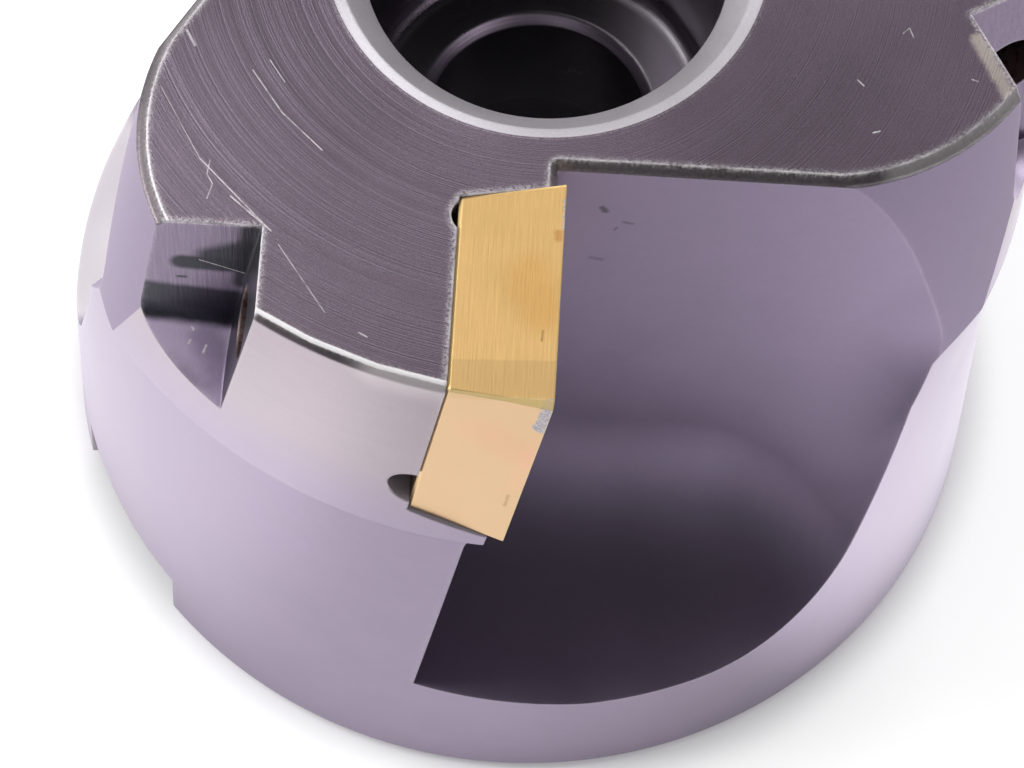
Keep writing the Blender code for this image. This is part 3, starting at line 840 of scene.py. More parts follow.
@dataclass
class Body:
    """The steel body: a turned blank with gullets, flared heels, insert pockets, notches and bores."""

    finishes: dict[str, bpy.types.Material]
    ring: Group
    rim_radius: float = 24.4 * MM
    ridge_clearance: float = 0.05 * MM
    ridge_depth: float = 15.4 * MM
    neck_sink: float = 0.85 * MM
    neck_run: float = 1.9 * MM
    back_sink: float = 0.4 * MM
    rim_chamfer: float = 0.35 * MM
    back_chamfer: float = 0.7 * MM
    turned_steps: int = 288
    edge_round: float = 0.09 * MM

    mouth_radius: float = 10.7 * MM
    mouth_round: float = 0.6 * MM
    mouth_round_depth: float = 0.25 * MM
    mouth_depth: float = 1.55 * MM
    counterbore_radius: float = 8.8 * MM
    counterbore_depth: float = 16.8 * MM
    counterbore_fillet: float = 1.0 * MM
    hole_radius: float = 5.5 * MM
    hole_chamfer: float = 0.5 * MM
    arbor_radius: float = 11.0 * MM
    arbor_depth: float = 20.0 * MM
    arbor_chamfer: float = 0.6 * MM
    slot_width: float = 10.4 * MM
    slot_depth: float = 4.0 * MM
    slot_angle: float = math.radians(30.0)

    seat_gap: float = 0.025 * MM
    inner_relief: tuple[float, float, float] = (0.95 * MM, 0.05 * MM, 1.25 * MM)
    lower_relief: tuple[float, float, float] = (1.5 * MM, 1.0 * MM, 2.3 * MM)

    floor_distance: float = 12.2 * MM
    gullet_ball: float = 10.0 * MM
    gullet_depth: float = 36.4 * MM
    gullet_side: float = 10.0 * MM
    gullet_lean: float = 0.46
    gullet_lean_top: float = 8.0 * MM
    gullet_tilt: float = 4.5 * MM
    path_ease: float = 0.5 * MM
    wall_top_setback: float = 0.35 * MM
    wall_step_setback: float = 0.85 * MM
    wall_low_setback: float = 1.5 * MM
    wall_step_depth: float = 15.2 * MM
    wall_step_run: float = 2.6 * MM
    edge_chamfer: float = 0.45 * MM

    heel_centre: Point2 = (12.8 * MM, -0.5 * MM)
    heel_radius: float = 11.82 * MM
    heel_flare: float = 0.148
    heel_drift: Point2 = (-0.08, -0.07)
    heel_below_ridge: float = 3.2 * MM
    heel_lap: float = 0.55 * MM
    heel_end: float = -3.6 * MM
    heel_pass_rise: float = 1.7 * MM
    heel_step: float = 0.03 * MM
    ball_around: int = 96
    ball_along: int = 48

    notch_wall: float = 12.41 * MM
    notch_tilt: float = math.radians(9.5)
    notch_back: float = 16.3 * MM
    notch_depth: float = 11.75 * MM
    notch_fillet: float = 3.0 * MM

    far: float = 30.0 * MM
    over: float = 8.0 * MM

    @property
    def heel_depth(self) -> float:
        """How deep the heel's cuts go below the cutting face."""
        return self.ridge_depth + self.heel_below_ridge

    def profile(self) -> list[Point2]:
        """The turned section: down the outside, in along the back and up through the bores."""
        top = LAYOUT.height
        ledge = top - self.counterbore_depth
        ridge = LAYOUT.cut_radius - self.ridge_clearance
        back = ridge - self.back_sink
        outside = [(self.rim_radius - self.rim_chamfer, top), (self.rim_radius, top - self.rim_chamfer)]
        steps = 12
        for k in range(steps + 1):
            down = k / steps
            sink = self.neck_sink * (1.0 - (1.0 - down) ** 2)
            outside.append((ridge - sink, top - self.ridge_depth - self.neck_run * down))
        outside += [(back, self.back_chamfer), (back - self.back_chamfer, 0.0)]
        arbor = [
            (self.arbor_radius + self.arbor_chamfer, 0.0),
            (self.arbor_radius, self.arbor_chamfer),
            (self.arbor_radius, self.arbor_depth),
            (self.hole_radius, self.arbor_depth),
            (self.hole_radius, ledge - self.hole_chamfer),
            (self.hole_radius + self.hole_chamfer, ledge),
        ]
        centre = (self.counterbore_radius - self.counterbore_fillet, ledge + self.counterbore_fillet)
        fillet = circle(centre, self.counterbore_fillet, 9, -0.5 * math.pi, 0.5 * math.pi)
        mouth = [
            (self.counterbore_radius, top - self.mouth_depth),
            (self.mouth_radius - self.mouth_round, top - self.mouth_round_depth),
            (self.mouth_radius, top),
        ]
        return soften(outside + arbor + fillet + mouth, self.edge_round)

    def wall_line(self) -> list[Point2]:
        """The gullet wall beside the insert, as (x, depth) from above the face to below the gullet."""

        def at(depth: float, setback: float) -> Point2:
            """A point of the wall at a depth, set back from the rake face."""
            return LAYOUT.rake_offset - (depth + LAYOUT.insert_proud) * LAYOUT.rake_slope - setback, depth

        steps = 8
        line = [at(-self.over, self.wall_top_setback), at(0.0, self.wall_top_setback)]
        for k in range(steps + 1):
            share = k / steps
            eased = share * share * (3.0 - 2.0 * share)
            setback = self.wall_step_setback + (self.wall_low_setback - self.wall_step_setback) * eased
            line.append(at(self.wall_step_depth + self.wall_step_run * share, setback))
        return line + [at(LAYOUT.height, self.wall_low_setback)]

    def gullet_corners(self) -> list[Point2]:
        """Where the centre of the gullet's ball-nosed tool turns, as (x, depth)."""
        low = self.gullet_depth - self.gullet_ball
        lean_side = self.gullet_side + self.gullet_lean * (low - self.gullet_lean_top)
        return [
            (-self.far, low - self.gullet_tilt),
            (0.5 * self.gullet_side, low),
            (self.gullet_side, low),
            (lean_side, self.gullet_lean_top),
            (lean_side, -self.over),
            (-self.far, -self.over),
        ]

    def heel_corners(self) -> list[Point2]:
        """Where the centre of the heel's ball-nosed tool turns, as (x, depth)."""
        low = self.ridge_depth - self.heel_pass_rise
        near = LAYOUT.rake_offset + self.gullet_ball
        return [(near, low), (self.far, low), (self.far, -self.over), (near, -self.over)]

    def ball_path(self, corners: list[Point2], floor: float) -> bmesh.types.BMesh:
        """The hull of the ball-nosed tool at the corners, from a floor at this distance outwards."""
        radius = self.gullet_ball
        # The far end of the tool lies outside the blank, so a few rows do there
        far_rows = 4
        points = []
        for x, depth in corners:
            centre = Vector((x, -floor - radius, LAYOUT.height - depth))
            for centre, rows in ((centre, self.ball_along), (centre + Vector((0.0, -self.far, 0.0)), far_rows)):
                points += [centre + Vector((0.0, side * radius, 0.0)) for side in (1.0, -1.0)]
                for i in range(1, rows):
                    ring = radius * math.sin(math.pi * i / rows)
                    level = radius * math.cos(math.pi * i / rows)
                    points += [centre + Vector((a, level, b)) for a, b in circle((0.0, 0.0), ring, self.ball_around)]
        return hull(points)

    def heel_circle(self, depth: float) -> tuple[Point2, float]:
        """Centre and radius of the heel's cone at a depth below the face."""
        x = self.heel_centre[0] + self.heel_drift[0] * depth
        y = self.heel_centre[1] + self.heel_drift[1] * depth
        return (x, y), self.heel_radius + self.heel_flare * depth

    def cutter(self, cut: Cut, bm: bmesh.types.BMesh, name: str = "") -> bpy.types.Object:
        """A cutter whose faces carry the cut's tag, hidden from the render."""
        obj = new_object(name or cut.tag, bm)
        obj.data.materials.append(plain_material(cut.tag))
        obj.hide_render = True
        return obj

    def ringed(self, obj: bpy.types.Object) -> bpy.types.Object:
        """The first tooth's cutter, copied round the axis for every tooth."""
        applied(obj)
        tags = [m.name for m in obj.data.materials]
        if len(tags) == 1:
            self.ring.put_on(obj, material=obj.data.materials[0])
            return applied(obj)
        # A cutter of two cuts is copied in Python, because the tree gives all its faces one material
        bm = bmesh.new()
        for index in range(LAYOUT.teeth):
            mesh = obj.data.copy()
            mesh.transform(LAYOUT.tooth_turn(index))
            bm.from_mesh(mesh)
            bpy.data.meshes.remove(mesh)
        bm.to_mesh(obj.data)
        bm.free()
        return obj

    def gullet(self) -> bpy.types.Object:
        """The chip gullet: a ball-nosed pocket on the floor plane, closed on one side by the insert's wall."""
        pocket = self.cutter(Cut.GULLET, self.ball_path(self.gullet_corners(), self.floor_distance))
        outline = self.wall_line() + [(2.0 * self.far, LAYOUT.height), (2.0 * self.far, -self.over)]
        place = Matrix(((1, 0, 0, 0), (0, 0, 1, 0), (0, -1, 0, LAYOUT.height), (0, 0, 0, 1)))
        side = prism(outline, place, -self.floor_distance + self.over, -self.floor_distance - 3.0 * self.far)
        wall = self.cutter(Cut.WALL, side)
        boolean(pocket, wall, "INTERSECT")
        return self.ringed(pocket)

    def heel_floor(self) -> bpy.types.Object:
        """The cut that frees the back of the next tooth along the floor plane."""
        floor = self.floor_distance + self.heel_step
        return self.ringed(self.cutter(Cut.HEEL, self.ball_path(self.heel_corners(), floor)))

    def heel_cone(self) -> bpy.types.Object:
        """The cut that rounds the back of the next tooth to a flared cone."""
        inner = self.heel_centre[0]
        lap = -self.floor_distance - self.heel_lap
        outline = [(inner, lap), (2.0 * self.far, lap), (2.0 * self.far, self.heel_end), (inner, self.heel_end)]
        low, high = LAYOUT.height - self.heel_depth, LAYOUT.height + self.over
        block = self.cutter(Cut.CONE, prism(outline, Matrix.Identity(4), low, high))
        rings = []
        for depth in (-self.over - MM, self.heel_depth + MM):
            centre, radius = self.heel_circle(depth)
            rings.append([Vector((x, y, LAYOUT.height - depth)) for x, y in circle(centre, radius, 288)])
        boolean(block, self.cutter(Cut.CONE, loft(rings), "heel_keep"))
        return self.ringed(block)

    def edge_path(self) -> list[tuple[Point2, Point2]]:
        """The gullet's edge on the cutting face: points, each with the unit vector that points into the steel."""
        wall_x = self.wall_line()[1][0]
        corner = (wall_x, -self.floor_distance)
        path = [((wall_x, -1.6 * self.far), (-1.0, 0.0)), (corner, (-1.0, 0.0))]
        fan = 12
        for k in range(1, fan + 1):
            turn = math.pi - 0.5 * math.pi * k / fan
            path.append((corner, (math.cos(turn), math.sin(turn))))
        (x, y), radius = self.heel_circle(0.0)
        start = -math.pi + math.acos(-math.sqrt(1.0 - ((-self.floor_distance - y) / radius) ** 2))
        end = math.radians(-5.0)
        steps = 72
        for k in range(steps + 1):
            angle = start + (end - start) * k / steps
            point = (x + radius * math.cos(angle), y + radius * math.sin(angle))
            path.append((point, (-math.cos(angle), -math.sin(angle))))
        return path

    def edge(self) -> bpy.types.Object:
        """The chamfer along the gullet's edge on the cutting face."""
        path = self.edge_path()
        path += [((2.0 * self.far, path[-1][0][1]), (0.0, 1.0)), ((2.0 * self.far, -1.6 * self.far), (0.0, 0.0))]
        soft = 0.05 * MM
        rings = []
        for depth, offset in ((-self.edge_chamfer, 2.0 * self.edge_chamfer), (self.edge_chamfer - soft, soft)):
            ring = [(x + i * offset, y + j * offset) for (x, y), (i, j) in path]
            rings.append([Vector((x, y, LAYOUT.height - depth)) for x, y in ring])
        return self.ringed(self.cutter(Cut.EDGE, loft(rings)))

    def notch(self) -> bpy.types.Object:
        """The notch behind the tooth: a flat wall that leans with depth, an upright back and a filleted floor."""
        cosine, sine = math.cos(self.notch_tilt), math.sin(self.notch_tilt)
        axes = (Vector((0.0, -1.0, 0.0)), Vector((sine, 0.0, cosine)), Vector((-cosine, 0.0, sine)))
        place = Matrix(axes).transposed().to_4x4()
        place.translation = Vector((-self.notch_wall, 0.0, LAYOUT.height))
        centre = (self.notch_back + self.notch_fillet, -self.notch_depth + self.notch_fillet)
        arc = circle(centre, self.notch_fillet, 17, math.pi, 0.5 * math.pi)
        outline = [(self.notch_back, self.over)] + arc + [(self.far, -self.notch_depth), (self.far, self.over)]
        return self.ringed(self.cutter(Cut.NOTCH, prism(outline, place, 0.0, self.far)))

    def pocket(self) -> bpy.types.Object:
        """The insert pocket: seat, inner wall and lower wall, close round the insert."""
        rings = []
        for ahead in (-LAYOUT.insert_thickness - self.seat_gap, 3.0 * MM):
            inner = -LAYOUT.insert_width - self.seat_gap - ahead * math.tan(LAYOUT.side_clearance)
            lower = -LAYOUT.insert_height - self.seat_gap - ahead * math.tan(LAYOUT.end_clearance)
            corners = [(inner, lower), (self.over, lower), (self.over, self.over), (inner, self.over)]
            rings.append([LAYOUT.insert_frame() @ Vector((x, ahead, z)) for x, z in corners])
        return self.ringed(self.cutter(Cut.POCKET, loft(rings)))

    def reliefs(self) -> list[bpy.types.Object]:
        """Round reliefs in the seat's inner and lower corners, which keep the insert off them."""
        place = LAYOUT.insert_frame()
        gap = LAYOUT.solid_gap
        seat = -LAYOUT.insert_thickness - gap
        radius, sink, inset = self.inner_relief
        low_radius, low_sink, rise = self.lower_relief
        inner = -LAYOUT.insert_width + LAYOUT.insert_thickness * math.tan(LAYOUT.side_clearance) + inset - gap
        upright = prism(
            circle((inner, seat - sink + radius), radius, 48), place, -LAYOUT.insert_height + rise, self.over
        )
        lower = -LAYOUT.insert_height + LAYOUT.insert_thickness * math.tan(LAYOUT.end_clearance) + rise
        turn = Matrix(((0, 0, 1, 0), (1, 0, 0, 0), (0, 1, 0, 0), (0, 0, 0, 1)))
        section = circle((seat - low_sink + low_radius, lower), low_radius, 48)
        level = prism(section, place @ turn, -LAYOUT.insert_width + inset, self.over)
        return [
            self.ringed(self.cutter(Cut.RELIEF, upright, "inner_relief")),
            self.ringed(self.cutter(Cut.RELIEF, level, "lower_relief")),
        ]

    def thread_hole(self) -> bpy.types.Object:
        """The hole that the insert screw threads into, open at the notch's wall."""
        start = LAYOUT.screw_frame().translation
        lean = math.tan(self.notch_tilt)
        run = -self.notch_wall + lean * (start.z - LAYOUT.height) - start.x
        level = run / (math.cos(LAYOUT.axial_rake) + lean * math.sin(LAYOUT.axial_rake))
        outline = circle((0.0, 0.0), LAYOUT.shank_radius + LAYOUT.solid_gap, 64)
        seat = -LAYOUT.insert_thickness
        return self.ringed(self.cutter(Cut.HOLE, prism(outline, LAYOUT.screw_frame(), level - MM, seat + MM)))

    def slot(self) -> bpy.types.Object:
        """The drive slot across the back face."""
        half = 0.5 * self.slot_width
        outline = [(-2.0 * self.far, -half), (2.0 * self.far, -half), (2.0 * self.far, half), (-2.0 * self.far, half)]
        place = Matrix.Rotation(self.slot_angle, 4, "Z")
        return self.cutter(Cut.SLOT, prism(outline, place, -self.over, self.slot_depth))

    def build(self) -> bpy.types.Object:
        """Makes the body's mesh, with exact normals and a finish for each surface."""
        blank = self.cutter(Cut.TURNED, revolve(self.profile(), self.turned_steps), "mill_body")
        cutters = [self.gullet(), self.heel_floor(), self.heel_cone(), self.edge(), self.notch(), self.pocket()]
        cutters += self.reliefs() + [self.thread_hole(), self.slot()]
        for cutter in cutters:
            boolean(blank, cutter)
        body = applied(blank)
        body.hide_render = False
        for obj in list(bpy.context.scene.objects):
            if obj is not body and obj.type == "MESH" and obj.data.materials and obj.hide_render:
                if obj.data.materials[0] and obj.data.materials[0].name.startswith("cut_"):
                    bpy.data.objects.remove(obj)
        shade(body)
        self.dress(body)
        return body

    def dress(self, body: bpy.types.Object) -> None:
        """Gives every corner its exact normal, and every face the finish of its surface."""
        mesh = body.data
        count, loops = len(mesh.polygons), len(mesh.loops)
        slots = np.empty(count, np.int32)
        mesh.polygons.foreach_get("material_index", slots)
        totals = np.empty(count, np.int32)
        mesh.polygons.foreach_get("loop_total", totals)
        centres = np.empty(count * 3)
        mesh.polygons.foreach_get("center", centres)
        centres = centres.reshape(-1, 3)
        flat = np.empty(count * 3)
        mesh.polygons.foreach_get("normal", flat)
        flat = flat.reshape(-1, 3)
        points = np.empty(len(mesh.vertices) * 3)
        mesh.vertices.foreach_get("co", points)
        corners = np.empty(loops, np.int32)
        mesh.loops.foreach_get("vertex_index", corners)
        places = points.reshape(-1, 3)[corners]
        normals = np.array([corner.vector for corner in mesh.corner_normals])
        owner = np.repeat(np.arange(count), totals)
        tags = [m.name if m else "" for m in mesh.materials]
        cut_of = {cut.tag: cut for cut in Cut}
        for slot, tag in enumerate(tags):
            cut = cut_of.get(tag)
            chosen = slots[owner] == slot
            if cut is None or not chosen.any():
                continue
            if cut is Cut.TURNED:
                normals[chosen] = self.turned_normals(places[chosen], flat[owner[chosen]])
            elif cut in (Cut.GULLET, Cut.HEEL, Cut.CONE):
                middle = centres[owner[chosen]]
                angle = np.degrees(np.arctan2(middle[:, 1], middle[:, 0])) - cut.value[1]
                tooth = np.round(angle / (360.0 / LAYOUT.teeth))
                turn = tooth * FULL_TURN / LAYOUT.teeth
                local = self.turned_by(places[chosen], -turn)
                exact = self.cone_normals(local) if cut is Cut.CONE else self.ball_normals(local)
                exact = self.turned_by(exact, turn)
                # A corner whose face looks another way keeps its own normal
                agree = (exact * flat[owner[chosen]]).sum(1) > 0.9
                held = normals[chosen]
                held[agree] = exact[agree]
                normals[chosen] = held
        mesh.normals_split_custom_set([tuple(n) for n in normals])
        self.assign(mesh, slots, tags, centres, flat)

    @staticmethod
    def turned_by(vectors: np.ndarray, turn: np.ndarray) -> np.ndarray:
        """Rows of vectors, each turned about Z by its own angle."""
        cosine, sine = np.cos(turn), np.sin(turn)
        x, y, z = vectors.T
        return np.stack([x * cosine - y * sine, x * sine + y * cosine, z], 1)

    def turned_normals(self, places: np.ndarray, flat: np.ndarray) -> np.ndarray:
        """Normals of the turned blank.

        Args:
            places: Corners on the blank.
            flat: The normals of the faces they belong to.

        Returns:
            The blank's normals there.
        """
        line = np.array(self.profile())
        after = np.roll(line, -1, axis=0)
        along = after - line
        length = np.linalg.norm(along, axis=1)
        side = np.stack([-along[:, 1], along[:, 0]], 1) / length[:, None]
        area = (line[:, 0] * after[:, 1] - after[:, 0] * line[:, 1]).sum()
        if area > 0:
            side = -side
        fold = math.cos(math.radians(34.0))
        smooth = (side * np.roll(side, 1, axis=0)).sum(1) > fold
        mean = side + np.roll(side, 1, axis=0)
        mean /= np.linalg.norm(mean, axis=1)[:, None]
        start = np.where(smooth[:, None], mean, side)
        end = np.where(np.roll(smooth, -1)[:, None], np.roll(mean, -1, axis=0), side)
        radius = np.hypot(places[:, 0], places[:, 1])
        out = places[:, :2] / radius[:, None]
        section = np.stack([radius, places[:, 2]], 1)
        facing = np.stack([(flat[:, :2] * out).sum(1), flat[:, 2]], 1)
        made = np.empty_like(places)
        # The nearest side wins, and of two as near, the one that looks the face's way
        facing_weight, batch = 2e-5, 20000
        for first in range(0, len(places), batch):
            rows = slice(first, first + batch)
            offset = section[rows, None, :] - line[None]
            share = np.clip((offset * along[None]).sum(2) / (length**2)[None], 0.0, 1.0)
            away = np.linalg.norm(offset - share[..., None] * along[None], axis=2)
            cost = away + facing_weight * (1.0 - facing[rows] @ side.T)
            best = cost.argmin(1)
            part = share[np.arange(len(best)), best][:, None]
            normal = start[best] * (1.0 - part) + end[best] * part
            normal /= np.linalg.norm(normal, axis=1)[:, None]
            made[rows] = np.concatenate([out[rows] * normal[:, :1], normal[:, 1:]], 1)
        return made

    def ball_normals(self, places: np.ndarray) -> np.ndarray:
        """Normals of the first gullet and heel floor, eased into each other where the tool's two paths meet."""
        made = np.zeros_like(places)
        for corners in (self.gullet_corners(), self.heel_corners()):
            corners = np.array(corners)
            corners[:, 1] = LAYOUT.height - corners[:, 1]
            near = nearest_in_polygon(places[:, [0, 2]], corners)
            level = np.minimum(places[:, 1], -self.floor_distance - self.gullet_ball)
            inwards = np.stack([near[:, 0], level, near[:, 1]], 1) - places
            away = np.maximum(np.linalg.norm(inwards, axis=1), 1e-9)
            share = np.exp(-np.abs(away - self.gullet_ball) / self.path_ease)
            made += inwards * (share / away)[:, None]
        return made / np.maximum(np.linalg.norm(made, axis=1), 1e-9)[:, None]

    def cone_normals(self, places: np.ndarray) -> np.ndarray:
        """Normals of the first heel's cone at those places."""
        depth = LAYOUT.height - places[:, 2]
        x = places[:, 0] - self.heel_centre[0] - self.heel_drift[0] * depth
        y = places[:, 1] - self.heel_centre[1] - self.heel_drift[1] * depth
        away = np.maximum(np.hypot(x, y), 1e-9)
        x, y = x / away, y / away
        rise = x * self.heel_drift[0] + y * self.heel_drift[1] + self.heel_flare
        made = np.stack([x, y, rise], 1)
        return made / np.linalg.norm(made, axis=1)[:, None]

    def assign(
        self, mesh: bpy.types.Mesh, slots: np.ndarray, tags: list[str], centres: np.ndarray, flat: np.ndarray
    ) -> None:
        """Swaps the cuts' tags for finishes.

        Args:
            mesh: The body's mesh.
            slots: Each face's present slot.
            tags: The present slots' names.
            centres: Each face's middle.
            flat: Each face's normal.
        """
        top = LAYOUT.height
        radius = np.hypot(centres[:, 0], centres[:, 1])
        depth = top - centres[:, 2]
        by_cut = {
            Cut.GULLET: "gullet", Cut.WALL: "gullet", Cut.HEEL: "gullet", Cut.CONE: "gullet", Cut.EDGE: "edge",
            Cut.NOTCH: "notch", Cut.POCKET: "pocket", Cut.RELIEF: "pocket", Cut.HOLE: "thread", Cut.SLOT: "back",
        }
        names = sorted(self.finishes)
        wanted = np.zeros(len(slots), np.int32)
        for cut, finish in by_cut.items():
            if cut.tag in tags:
                wanted[slots == tags.index(cut.tag)] = names.index(finish)
        turned = slots == tags.index(Cut.TURNED.tag)
        outer = turned & (radius > self.mouth_radius + MM)
        for where, finish in (
            (turned & (radius < self.mouth_radius + MM), "bore"),
            (turned & (radius < self.mouth_radius + MM) & (depth < self.mouth_depth), "mouth"),
            (outer & (depth < 0.5 * self.rim_chamfer), "face"),
            (outer & (depth >= 0.2 * self.rim_chamfer) & (depth < self.ridge_depth), "land"),
            (outer & (depth >= self.ridge_depth), "shank"),
            (turned & (centres[:, 2] < 0.02 * MM), "back"),
            (turned & (radius > self.mouth_radius) & (depth < 0.02 * MM), "face"),
        ):
            wanted[where] = names.index(finish)
        # Painted shade: only the first tooth's leaning notch wall takes the darker notch_wall finish
        angle = np.degrees(np.arctan2(centres[:, 1], centres[:, 0])) - Cut.NOTCH.value[1]
        turn = np.round(angle * LAYOUT.teeth / 360.0)
        leaning = self.turned_by(flat, -turn * FULL_TURN / LAYOUT.teeth)[:, 0] < -0.9
        wanted[leaning & (turn == 0.0) & (wanted == names.index("notch"))] = names.index("notch_wall")
        mesh.materials.clear()
        for name in names:
            mesh.materials.append(self.finishes[name])
        mesh.polygons.foreach_set("material_index", wanted)
        mesh.update()


# Inserts and screws


@dataclass
class Insert:
    """One coated insert: a square cutting plate with clearance on its sides and a sunk chip breaker."""

    finish: bpy.types.Material
    ring: Group
    edge: float = 0.16 * MM
    land: float = 0.9 * MM
    breaker_depth: float = 0.22 * MM
    facet: float = 0.36 * MM
    facet_run: float = 2.3 * MM
    hone: float = 0.05 * MM
    back_round: float = 0.12 * MM

    def outline(self, inset: float, side: float = 0.0, end: float = 0.0) -> list[Point2]:
        """The plate's rounded outline, drawn in from the rake edge and narrowed by its clearances."""
        width, height = LAYOUT.insert_width, LAYOUT.insert_height
        left, right, low, high = -width + side + inset, -side - inset, -height + end + inset, -end - inset
        r = self.edge
        made: list[Point2] = []
        centres = ((right - r, high - r), (left + r, high - r), (left + r, low + r), (right - r, low + r))
        for quarter, centre in enumerate(centres):
            made += circle(centre, r, 7, quarter * 0.5 * math.pi, 0.5 * math.pi)
        return made

    def plate(self) -> bmesh.types.BMesh:
        """The plate in its own frame, without its hole and its facet."""
        side = LAYOUT.insert_thickness * math.tan(LAYOUT.side_clearance)
        end = LAYOUT.insert_thickness * math.tan(LAYOUT.end_clearance)
        back = self.hone / LAYOUT.insert_thickness
        levels = [
            (self.outline(self.back_round, side, end), -LAYOUT.insert_thickness),
            (self.outline(0.0, side * 0.97, end * 0.97), -LAYOUT.insert_thickness + self.back_round),
            (self.outline(0.0, side * back, end * back), -self.hone),
            (self.outline(0.3 * self.hone), -0.3 * self.hone),
            (self.outline(self.hone), 0.0),
            (self.outline(0.35 * self.land), 0.0),
        ]
        steps = 6
        for k in range(1, steps + 1):
            share = k / steps
            inset = self.land * (0.35 + 1.15 * share)
            levels.append((self.outline(inset), -self.breaker_depth * share * share * (3.0 - 2.0 * share)))
        return loft([[Vector((x, ahead, z)) for x, z in ring] for ring, ahead in levels])

    def hole(self) -> bmesh.types.BMesh:
        """The countersunk hole through the plate, with a rounded mouth."""
        shank = LAYOUT.shank_radius + LAYOUT.solid_gap
        head = LAYOUT.head_radius + LAYOUT.solid_gap
        cone_top = -LAYOUT.head_sink - LAYOUT.head_rim
        levels = [
            (-LAYOUT.insert_thickness - MM, shank),
            (cone_top - LAYOUT.head_cone, shank),
            (cone_top, head),
            (-0.25 * MM, head + 0.03 * MM),
            (-0.1 * MM, head + 0.12 * MM),
            (MM, head + 0.45 * MM),
        ]
        return stack(LAYOUT.screw_frame(), levels, 96)

    def corner_facet(self) -> bmesh.types.BMesh:
        """The block that grinds the facet across the outer corner."""
        near = Vector((0.0, 0.0, -self.facet))
        far = Vector((-self.facet, 0.0, 0.0))
        back = Vector(
            (
                -self.facet_run * math.tan(LAYOUT.side_clearance) - 0.4 * self.edge,
                -self.facet_run,
                -self.facet_run * math.tan(LAYOUT.end_clearance) - 0.4 * self.edge,
            )
        )
        normal = (far - near).cross(back - near).normalized()
        if normal.dot(Vector((1.0, 0.0, 1.0))) < 0.0:
            normal = -normal
        middle = (near + far + back) / 3.0
        along = (far - near).normalized()
        across = normal.cross(along)
        reach = 4.0 * MM
        corners = [middle + a * reach * along + b * reach * across for a, b in ((-1, -1), (1, -1), (1, 1), (-1, 1))]
        place = LAYOUT.insert_frame()
        return loft([[place @ corner for corner in corners], [place @ (corner + normal * reach) for corner in corners]])

    def build(self, index: int) -> bpy.types.Object:
        """Makes one insert on its tooth.

        Args:
            index: The tooth, from 0.

        Returns:
            The insert.
        """
        bm = self.plate()
        bmesh.ops.transform(bm, matrix=LAYOUT.insert_frame(), verts=bm.verts)
        obj = new_object(f"coated_insert_{index + 1}", bm)
        obj.data.materials.append(self.finish)
        helpers = []
        for name, shape in (("facet", self.corner_facet()), ("hole", self.hole())):
            helper = new_object(name, shape)
            helper.data.materials.append(self.finish)
            helpers.append(helper)
            boolean(obj, helper)
        applied(obj)
        for helper in helpers:
            bpy.data.objects.remove(helper)
        self.ring.put_on(obj, first=index, copies=1, material=self.finish)
        applied(obj)
        shade(obj)
        even = obj.modifiers.new("even_faces", "WEIGHTED_NORMAL")
        even.keep_sharp = True
        return applied(obj)


@dataclass
class InsertScrew:
    """One insert screw: countersunk head with a six-lobed socket, and a threaded shank."""

    finish: bpy.types.Material
    ring: Group
    thread: Group
    length: float = 11.6 * MM
    socket_radius: float = 1.65 * MM
    socket_wave: float = 0.28 * MM
    socket_depth: float = 1.3 * MM
    tip_chamfer: float = 0.4 * MM
    thread_length: float = 6.4 * MM
    thread_turns: float = 9.0
    thread_ridge: float = 0.2 * MM
    thread_start: float = 0.6 * MM

    def build(self, index: int) -> bpy.types.Object:
        """Makes one screw on its tooth.

        Args:
            index: The tooth, from 0.

        Returns:
            The screw.
        """
        top = -LAYOUT.head_sink
        cone_top = top - LAYOUT.head_rim
        tip = top - self.length
        soft = 0.12 * MM
        levels = [
            (tip, LAYOUT.shank_radius - self.tip_chamfer),
            (tip + self.tip_chamfer, LAYOUT.shank_radius),
            (cone_top - LAYOUT.head_cone, LAYOUT.shank_radius),
            (cone_top, LAYOUT.head_radius),
            (top - soft, LAYOUT.head_radius),
            (top - 0.3 * soft, LAYOUT.head_radius - 0.3 * soft),
            (top, LAYOUT.head_radius - soft),
        ]
        around = 72
        place = LAYOUT.screw_frame()
        obj = new_object(f"screw_{index + 1}", stack(place, levels, around))
        lobes = []
        for k in range(around):
            turn = FULL_TURN * k / around
            reach = self.socket_radius - self.socket_wave * (0.5 - 0.5 * math.cos(6.0 * turn))
            lobes.append((reach * math.cos(turn), reach * math.sin(turn)))
        # Each level's share of the socket's outline: a slight draught, then a bevelled mouth
        levels = [(top - self.socket_depth, 0.96), (top - 0.14 * MM, 1.0), (top + MM, 1.5)]
        socket = new_object(
            "socket", loft([[place @ Vector((x * s, y * s, level)) for x, y in lobes] for level, s in levels])
        )
        obj.data.materials.append(self.finish)
        socket.data.materials.append(self.finish)
        boolean(obj, socket)
        applied(obj)
        bpy.data.objects.remove(socket)
        self.add_thread(obj, place, tip)
        self.ring.put_on(obj, first=index, copies=1, material=self.finish)
        applied(obj)
        shade(obj)
        return obj

    def add_thread(self, obj: bpy.types.Object, place: Matrix, tip: float) -> None:
        """Joins the thread's ridge to the screw's mesh."""
        ridge = new_object("thread", bmesh.new())
        self.thread.put_on(
            ridge,
            radius=LAYOUT.shank_radius + 0.02 * MM,
            length=self.thread_length,
            turns=self.thread_turns,
            ridge=self.thread_ridge,
            material=self.finish,
        )
        applied(ridge)
        ridge.data.transform(place @ Matrix.Translation((0.0, 0.0, tip + self.thread_start)))
        bm = bmesh.new()
        bm.from_mesh(obj.data)
        bm.from_mesh(ridge.data)
        bmesh.ops.recalc_face_normals(bm, faces=bm.faces)
        bm.to_mesh(obj.data)
        bm.free()
        bpy.data.objects.remove(ridge)


# The studio


